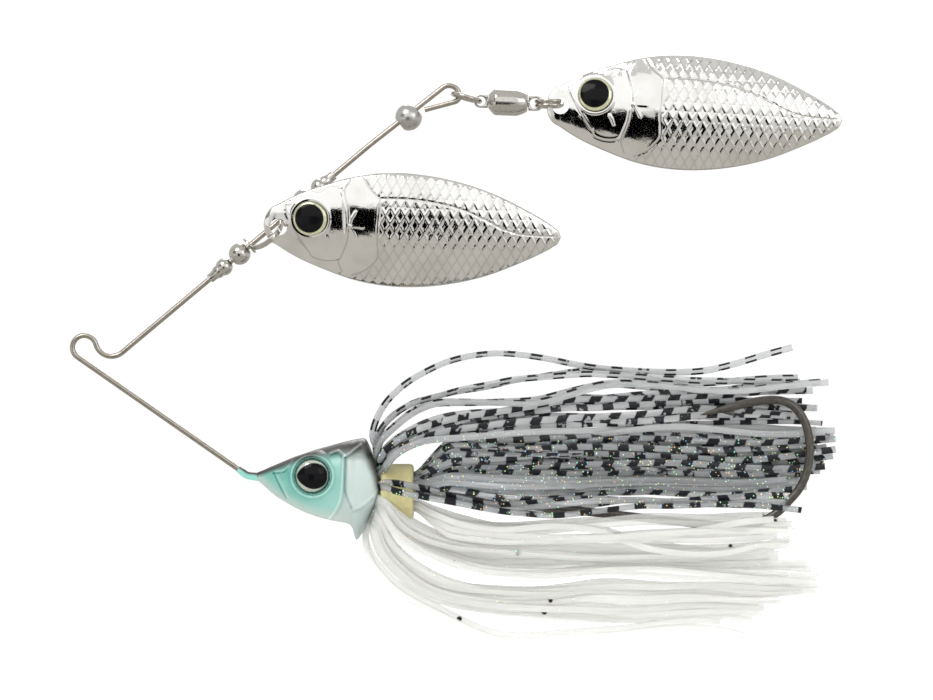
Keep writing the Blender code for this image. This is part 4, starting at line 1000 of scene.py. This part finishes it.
# ---------------------------------------------------------------- skirt
GUIDES = {
    "U0":[(44.3, -16.2), (44.2, -13.9), (45.8, -11.2), (49.2, -8.7), (53.1, -7.4), (57.1, -6.4), (61.0, -5.9), (64.7, -5.2), (68.6, -4.7), (72.1, -4.2), (77.0, -3.7), (83.3, -4.2), (88.6, -4.9), (92.7, -5.3), (96.4, -5.3), (101.6, -5.1), (109.6, -4.8)],
    "U1":[(44.5, -17.0), (44.4, -14.6), (46.5, -12.3), (49.5, -9.8), (52.7, -8.4), (56.2, -8.1), (61.0, -8.0), (66.0, -8.1), (69.0, -8.0), (73.6, -6.9), (78.1, -5.8), (81.9, -5.6), (87.2, -5.9), (93.3, -6.3), (99.3, -6.2), (105.4, -5.6), (113.9, -5.3)],
    "U2":[(44.8, -17.8), (45.2, -15.8), (48.1, -13.4), (51.6, -11.7), (55.3, -10.7), (59.5, -10.1), (63.4, -9.7), (67.4, -9.1), (71.6, -8.3), (75.2, -7.8), (79.5, -7.7), (86.2, -7.3), (89.3, -7.2), (93.3, -7.0), (97.4, -7.0), (103.1, -6.6), (111.8, -6.3)],
    "U3":[(45.2, -18.0), (46.0, -16.3), (48.3, -14.5), (52.1, -12.8), (57.3, -11.2), (61.5, -10.7), (65.7, -10.2), (69.6, -9.5), (73.8, -9.0), (77.8, -8.9), (82.1, -8.4), (88.7, -8.3), (94.8, -8.2), (99.0, -8.3), (105.4, -8.6), (112.8, -8.8)],
    "U4":[(45.4, -18.3), (46.6, -16.3), (49.6, -14.3), (54.6, -13.0), (59.5, -12.2), (63.0, -11.5), (67.2, -11.0), (72.1, -10.7), (77.0, -10.6), (83.3, -10.7), (90.1, -10.1), (93.3, -9.8), (101.6, -10.1), (106.8, -10.4), (110.7, -11.0)],
    "U5":[(45.4, -18.6), (46.6, -16.6), (49.3, -14.8), (53.1, -13.7), (59.9, -13.4), (67.5, -13.4), (75.1, -13.1), (82.7, -12.5), (90.2, -12.2), (97.8, -12.5), (105.4, -12.8), (117.5, -12.7)],
    "U6":[(45.7, -19.2), (47.8, -17.4), (51.6, -15.6), (58.4, -15.1), (67.5, -15.3), (78.1, -15.1), (90.2, -15.1), (99.3, -15.1), (106.9, -15.0), (115.2, -14.0)],
    "U7":[(45.8, -19.8), (49.3, -18.0), (54.6, -17.1), (63.0, -16.8), (72.1, -16.5), (81.2, -16.6), (91.8, -16.8), (99.3, -17.2), (106.9, -16.8), (115.2, -15.9)],
    "U8":[(45.5, -20.1), (49.3, -19.2), (55.4, -18.6), (66.0, -18.4), (78.1, -18.4), (91.8, -18.7), (103.9, -19.2), (112.4, -18.9)],
    "U9":[(45.4, -20.4), (50.8, -20.1), (55.4, -20.0), (64.5, -20.3), (75.1, -20.6), (84.2, -20.7), (93.3, -20.6), (101.6, -20.3), (110.7, -19.8)],
    "U10":[(45.2, -20.4), (46.9, -20.3), (50.7, -21.0), (54.6, -21.8), (58.7, -22.7), (63.0, -23.5), (69.1, -23.4), (76.6, -22.8), (83.9, -22.8), (89.3, -22.9), (93.5, -22.8), (97.4, -22.8), (101.6, -22.5), (105.5, -22.4), (110.7, -22.5)],
    "U11":[(45.4, -20.9), (47.4, -21.6), (51.2, -22.4), (55.3, -23.3), (59.5, -24.2), (63.4, -24.8), (67.3, -25.0), (71.1, -25.1), (78.1, -24.2), (84.1, -23.6), (88.3, -23.8), (96.4, -23.8), (100.5, -23.9), (104.5, -24.2), (109.2, -24.5)],
    "L0":[(45.7, -21.9), (48.6, -24.0), (54.0, -25.7), (59.2, -26.6), (64.5, -27.1), (72.1, -26.9), (79.6, -26.2), (85.7, -25.7), (96.3, -25.7), (109.2, -25.9)],
    "L1":[(45.7, -23.0), (49.3, -26.5), (55.4, -29.3), (63.0, -30.7), (70.5, -30.9), (78.1, -31.2), (85.7, -31.0), (93.3, -30.9), (100.1, -30.6), (106.9, -30.1)],
    "L2":[(44.9, -24.2), (47.4, -28.1), (52.4, -31.5), (58.4, -33.7), (63.0, -34.3), (70.5, -34.3), (78.1, -33.7), (85.7, -33.9), (93.3, -34.5), (102.4, -35.0), (113.7, -35.7)],
    "L3":[(44.2, -25.4), (45.8, -30.0), (49.3, -34.0), (53.9, -36.8), (59.9, -37.8), (66.0, -38.0), (72.1, -37.7), (78.1, -37.1), (85.7, -37.5), (93.3, -36.9), (102.4, -37.2), (111.5, -36.8)],
    "L4":[(43.5, -26.7), (44.6, -31.0), (47.8, -34.7), (51.5, -37.5), (56.6, -39.3), (61.9, -40.0), (67.1, -40.3), (74.9, -41.0), (81.9, -41.2), (91.2, -40.7), (96.3, -40.9), (103.1, -41.6)],
    "STRAY":[(44.5, -15.1), (43.6, -14.0), (44.0, -11.6), (45.5, -8.6), (47.8, -6.2), (50.7, -4.2), (55.8, -1.9), (62.2, -0.9), (68.9, -1.5), (76.8, -3.0), (86.3, -3.7), (93.3, -3.6), (98.4, -2.5), (102.7, -1.2), (107.1, 0.0)],
    "LOWEST":[(42.8, -26.9), (42.6, -28.0), (43.1, -31.8), (46.8, -36.3), (50.8, -38.9), (54.6, -40.7), (59.8, -43.3), (63.7, -44.5), (68.9, -44.7), (81.0, -43.4), (88.4, -42.5), (95.4, -42.5), (100.8, -43.9)],
    "CROSS_A":[(45.7, -22.5), (52.4, -25.0), (61.9, -27.2), (70.5, -27.1), (77.5, -27.7), (80.7, -28.7), (84.6, -29.8), (89.9, -30.6), (93.7, -30.9), (97.7, -30.8), (101.6, -30.0), (107.2, -30.0)],
    "CROSS_B":[(45.7, -22.7), (48.8, -26.1), (54.0, -27.9), (60.0, -29.2), (64.5, -29.5), (72.3, -29.2), (78.8, -28.7), (83.3, -28.7), (89.0, -27.7), (93.7, -27.1), (99.0, -26.3), (103.9, -26.0)],
    "CROSS_C":[(45.4, -23.4), (49.3, -27.7), (56.9, -30.4), (69.0, -31.0), (81.2, -31.6), (91.8, -31.6), (96.9, -30.9), (100.8, -29.8), (106.5, -28.5)],
}
DEEP = [(-45, 0.6), (-44, 0.8), (-41, 2.6), (-38, 3.8), (-35, 4.9), (-30, 6.0), (-25.5, 6.7), (-18.3, 7.0), (-12.5, 6.2), (-7, 4.9), (-4, 3.6), (0, 2.0)]
AXIS_Z = -21.85
rng = random.Random(7)
UPPER = [f"U{i}" for i in range(12)]
LOWER = [f"L{i}" for i in range(5)]
STEPS = 96


def guide(names, t):
    i = min(int(t), len(names) - 2)
    f = t - i
    a, b = (even(spline(GUIDES[names[i + k]], 6), 60) for k in (0, 1))
    return a * (1 - f) + b * f


def strand(parts, line, side, share, ink=1.0, root="front", roll=0.0, cut=None, cross=True, wave=0.30, width=0.50, flat_y=None):
    """Adds one strip that follows line (x, z) on one side of the hook."""
    seed = rng.random()
    cut = rng.uniform(0.93, 1.0) if cut is None else cut
    line = even(line, 60)[: max(8, int(60 * cut))]
    x, z = line[:, 0].copy(), line[:, 1].copy()
    reach = step(x, 46.0, 60.0)
    z = z + wave * reach * np.sin(x / rng.uniform(4.5, 7.5) + rng.uniform(0, 6.28))
    deep = np.interp(z, *zip(*DEEP))
    y = side * deep * share if flat_y is None else np.full_like(x, flat_y)
    y = y + 0.25 * reach * np.sin(x / rng.uniform(5, 9) + rng.uniform(0, 6.28))
    last = z[-1]
    if side < 0 and cross and -21.6 < last < -6.0:
        target = rng.uniform(1.1, 3.4)
        y = y + (target - y) * step(x, 58.0, 92.0)
    if root == "rear":
        keep = x > 55.0
        x, z, y = x[keep], z[keep], y[keep]
        lead_z = AXIS_Z + np.clip((z[0] - AXIS_Z) * 0.42, -2.4, 2.4)
        lead_y = side * math.sqrt(max(0.3, 2.85**2 - (lead_z - AXIS_Z) ** 2))
        lead_y = side * min(abs(lead_y), max(0.4, abs(y[0])))
        x = np.concatenate([[48.6, 50.3, 52.4], x])
        z = np.concatenate([[lead_z, lead_z, lead_z * 0.55 + z[0] * 0.45], z])
        y = np.concatenate([[lead_y, lead_y, (lead_y + y[0]) / 2], y])
    else:
        up = np.clip((z[0] - AXIS_Z) / 4.6, -0.97, 0.97)
        r0 = 3.55
        side_y = math.sqrt(1 - up * up) * (side if flat_y is None else math.copysign(1, flat_y))
        y_first = side_y * 4.4 * min(1.0, 0.35 + share)
        y[0] = y_first if abs(y[0]) > abs(y_first) else y[0]
        x = np.concatenate([[44.35, 44.72], x])
        z = np.concatenate([[AXIS_Z + up * 2.7, AXIS_Z + up * r0], z])
        y = np.concatenate([[side_y * 2.7, side_y * r0], y])
        r = np.hypot(y, z - AXIS_Z)
        over = (x > 45.6) & (x < 50.6)
        over[:2] = False
        push = np.where(over & (r < 4.62), 4.62 / np.maximum(r, 0.1), 1.0)
        y, z = y * push, AXIS_Z + (z - AXIS_Z) * push
    points = even(spline(np.stack([x, y, z], 1), 3), STEPS)
    for _ in range(2):
        points[1:-1] = (points[:-2] + 2 * points[1:-1] + points[2:]) / 4
    shape = [(1, 0.10), (0.8, 0.16), (-0.8, 0.16), (-1, 0.10), (-1, -0.10), (-0.8, -0.16), (0.8, -0.16), (1, -0.10)]
    twist, phase, pace = rng.uniform(8, 40), rng.uniform(0, 6.28), rng.uniform(0.03, 0.08)
    rings, along, across, run, last_p = [], [], [], 0.0, None
    first = Vector(points[1] - points[0]).normalized()
    flat = first.cross(Vector((0, 1, 0)))
    flat = flat.normalized() if flat.length > 0.3 else Vector((0, 0, 1))
    for p, t, up_v, side_v in frames([tuple(q) for q in points], flat):
        run += (p - last_p).length if last_p is not None else 0.0
        last_p = p
        a = math.radians(roll + twist * math.sin(run * pace + phase))
        wv = up_v * math.cos(a) + side_v * math.sin(a)
        tv = side_v * math.cos(a) - up_v * math.sin(a)
        rings.append([p + wv * (width * q) + tv * h for q, h in shape])
        along += [run] * len(shape)
        across += [q for q, _ in shape]
    v, f = loft(rings)
    along += [along[0], along[-1]]
    across += [0.0, 0.0]
    parts.add(v, f, along=along, across=across, seed=[seed] * len(v), ink=[ink] * len(v))


def skirt_piece(name, look, node, strands):
    parts = Parts()
    for make in strands:
        strand(parts, **make)
    return build(name, parts.v, parts.f, look, "lure_frame", [node],
                 floats={k: parts.extra[k] for k in ("along", "across", "seed", "ink")}, crease=50)


def share():
    return rng.uniform(0.45, 1.0)


PLAN = {
    "upper": (UPPER, [(0.0, 1.5, "front", 30), (1.0, 1.5, "front", 15), (1.14, 0, "front", 25), (2.0, 1, "front", 0), (2.13, 1, "front", 30),
                      (3.0, 1, "front", 0), (3.14, 1, "front", 35), (3.85, 1, "front", 15)]),
    "shoulder": (UPPER, [(4.15, 1, "front", 0), (4.55, 1, "front", 20), (4.85, 0, "front", 0), (5.05, 0, "front", 10), (5.35, 1, "rear", 0),
                         (5.62, 1, "rear", 20), (5.85, 1, "rear", 0), (6.10, 1, "rear", 0)]),
    "side": (UPPER, [(6.35, 1, "rear", 0), (6.6, 1, "rear", 25), (6.85, 1, "rear", 0), (7.1, 1, "rear", 10), (7.35, 1, "rear", 0),
                     (7.6, 1, "rear", 20), (7.85, 1, "rear", 0), (8.05, 1, "rear", 0), (8.2, 1, "rear", 40)]),
    "flank": (UPPER, [(8.55, 0, "rear", 0), (8.85, 0, "rear", 0), (9.1, 0, "rear", 0), (9.45, 0, "rear", 10), (9.72, 1, "rear", 0),
                      (10.0, 1, "front", 0), (10.35, 0, "rear", 0), (11.0, 1, "front", 0)]),
    "lower": (LOWER, [(0.0, 0, "rear", 0), (0.13, 0, "rear", 10), (0.40, 0, "rear", 0), (0.58, 0, "rear", 15), (0.92, 0, "front", 0),
                      (1.06, 0, "front", 0), (1.2, 0, "front", 10), (1.34, 0, "front", 0), (1.48, 0, "front", 0), (1.62, 0, "front", 0),
                      (1.76, 0, "front", 15)]),
}
for tag, side in (("left", -1.0), ("right", 1.0)):
    for key, (names, wanted) in PLAN.items():
        made = []
        for t, ink, root, roll in wanted:
            if side > 0:
                t = min(len(names) - 1.001, max(0.0, t + rng.uniform(-0.10, 0.12)))
                if rng.random() < 0.22:
                    continue
            made.append(dict(line=guide(names, t), side=side, share=share(), ink=ink, root=root, roll=roll))
        if key == "lower":
            for cross_name in (("CROSS_A", "CROSS_B") if side < 0 else ("CROSS_A",)):
                made.append(dict(line=even(spline(GUIDES[cross_name], 6), 60), side=side, share=0.9, ink=0, root="rear", cut=1.0))
            if side < 0:
                made.append(dict(line=even(spline(GUIDES["CROSS_C"], 6), 60), side=side, share=0.8, ink=0, root="front", cut=1.0))
        clear = key == "lower"
        skirt_piece(f"strands_{key}_{tag}", CLEAR if clear else BARRED,
                    f"skirt_{key}_{tag}", made)
belly = []
for t in (1.9, 2.05, 2.62, 2.76, 2.9, 3.04, 3.18, 3.32, 3.58, 3.72, 3.86, 3.98):
    for side in (-1.0, 1.0):
        if side > 0 and t > 2 and rng.random() < 0.35:
            continue
        belly.append(dict(line=guide(LOWER, t), side=side, share=rng.uniform(0.25, 0.95), ink=0, root="front",
                          roll=rng.choice([0, 0, 15])))
skirt_piece("strands_belly", CLEAR, "skirt_belly", belly)
skirt_piece("strand_stray", BARRED, "skirt_stray_strand",
            [dict(line=even(spline(GUIDES["STRAY"], 6), 60), side=-1.0, share=0.5, flat_y=-1.4, cut=1.0, roll=12, ink=1.5, cross=False, wave=0.0)])
skirt_piece("strand_lowest", CLEAR, "skirt_lowest_strand",
            [dict(line=even(spline(GUIDES["LOWEST"], 6), 60), side=-1.0, share=0.5, flat_y=-0.6, cut=1.0, wave=0.0),
             dict(line=even(spline(GUIDES["LOWEST"], 6), 60)[:56] + np.array((0.0, 0.9)), side=1.0, share=0.5, flat_y=0.8, cut=1.0, wave=0.2)])


# ---------------------------------------------------------------- floor, backdrop, lights
def flat_look(name, colour, glow=0.0, rough=0.9, lit=True):
    look = Look(name, colour if lit else (0, 0, 0), 0.0, rough, Specular_IOR_Level=0.5 if lit else 0.0)
    if glow:
        look.set("Emission Color", (*colour, 1.0))
        look.set("Emission Strength", glow)
    return look.m


def plane(name, corners, look, **seen):
    mesh = bpy.data.meshes.new(name)
    mesh.from_pydata(corners, [], [list(range(len(corners)))])
    mesh.materials.append(look)
    made = bpy.data.objects.new(name, mesh)
    scene.collection.objects.link(made)
    for key in ("camera", "diffuse", "glossy", "transmission", "volume_scatter", "shadow"):
        setattr(made, "visible_" + key, seen.get(key, False))
    return made


FLOOR_Z = -0.060
disc = [(2.9 * math.cos(2 * math.pi * k / 96), 2.9 * math.sin(2 * math.pi * k / 96), FLOOR_Z) for k in range(96)]
plane("floor", disc, flat_look("floor paper", (0.86, 0.86, 0.86), 0.52), camera=True, diffuse=True, transmission=True, shadow=True)
mesh = bpy.data.meshes.new("backdrop")
bm = bmesh.new()
bmesh.ops.create_uvsphere(bm, u_segments=48, v_segments=24, radius=3.0)
bm.to_mesh(mesh)
bm.free()
mesh.materials.append(flat_look("backdrop paper", (1.0, 1.0, 1.0), 1.03, lit=False))
backdrop = bpy.data.objects.new("backdrop", mesh)
scene.collection.objects.link(backdrop)
for key in ("diffuse", "glossy", "volume_scatter", "shadow"):
    setattr(backdrop, "visible_" + key, False)


def card(name, y, x0, x1, z0, z1, colour, glow, **seen):
    look = flat_look(name + " card", colour, glow, lit=False)
    return plane(name, [(x0, y, z0), (x1, y, z0), (x1, y, z1), (x0, y, z1)], look, glossy=True, **seen)


card("card_white", -0.50, -0.36, 0.46, 0.062, 0.48, (1.0, 1.0, 0.985), 1.04)
for side, x0, x1 in (("left", -1.6, -0.34), ("right", 0.44, 1.7)):
    card(f"card_{side}_high", -0.50, x0, x1, 0.04, 0.60, (0.24, 0.235, 0.22), 1.0)
    card(f"card_{side}_low", -0.50, x0, x1, -0.235, 0.04, (0.86, 0.85, 0.82), 1.0)
shade = flat_look("card_black card", (0.004, 0.004, 0.005), 0.0, lit=False)
plane("card_black", [(-0.13, -0.50, -0.20), (0.04, -0.50, -0.225), (0.070, -0.50, -0.16), (0.085, -0.50, -0.090), (0.17, -0.50, -0.058),
                     (0.17, -0.50, -0.046), (0.085, -0.50, -0.022), (0.055, -0.50, 0.022), (0.02, -0.50, 0.046), (-0.115, -0.50, 0.046)], shade, glossy=True)
table = [(-0.6, -0.75, -0.235), (0.75, -0.75, -0.235), (0.75, 0.6, -0.235), (-0.6, 0.6, -0.235)]
plane("card_table", table, flat_look("table card", (0.50, 0.48, 0.44), 1.0, lit=False), glossy=True)

world = bpy.data.worlds.new("studio")
world.use_nodes = True
background = world.node_tree.nodes["Background"]
background.inputs["Color"].default_value = (1.0, 0.99, 0.97, 1.0)
background.inputs["Strength"].default_value = 0.66
scene.world = world


def area(name, at, aim, size, power):
    light = bpy.data.lights.new(name, "AREA")
    light.shape, light.size, light.energy = "SQUARE", size, power
    made = bpy.data.objects.new(name, light)
    made.location = at
    made.rotation_euler = (Vector(aim) - Vector(at)).to_track_quat("-Z", "Y").to_euler()
    scene.collection.objects.link(made)
    return made


area("key", (-0.22, -0.42, 0.50), (0.055, 0, 0), 0.34, 1.7)
area("fill", (0.45, -0.40, 0.20), (0.055, 0, 0), 0.30, 0.5)
area("back", (0.10, 0.45, 0.40), (0.055, 0, 0), 0.34, 0.9)
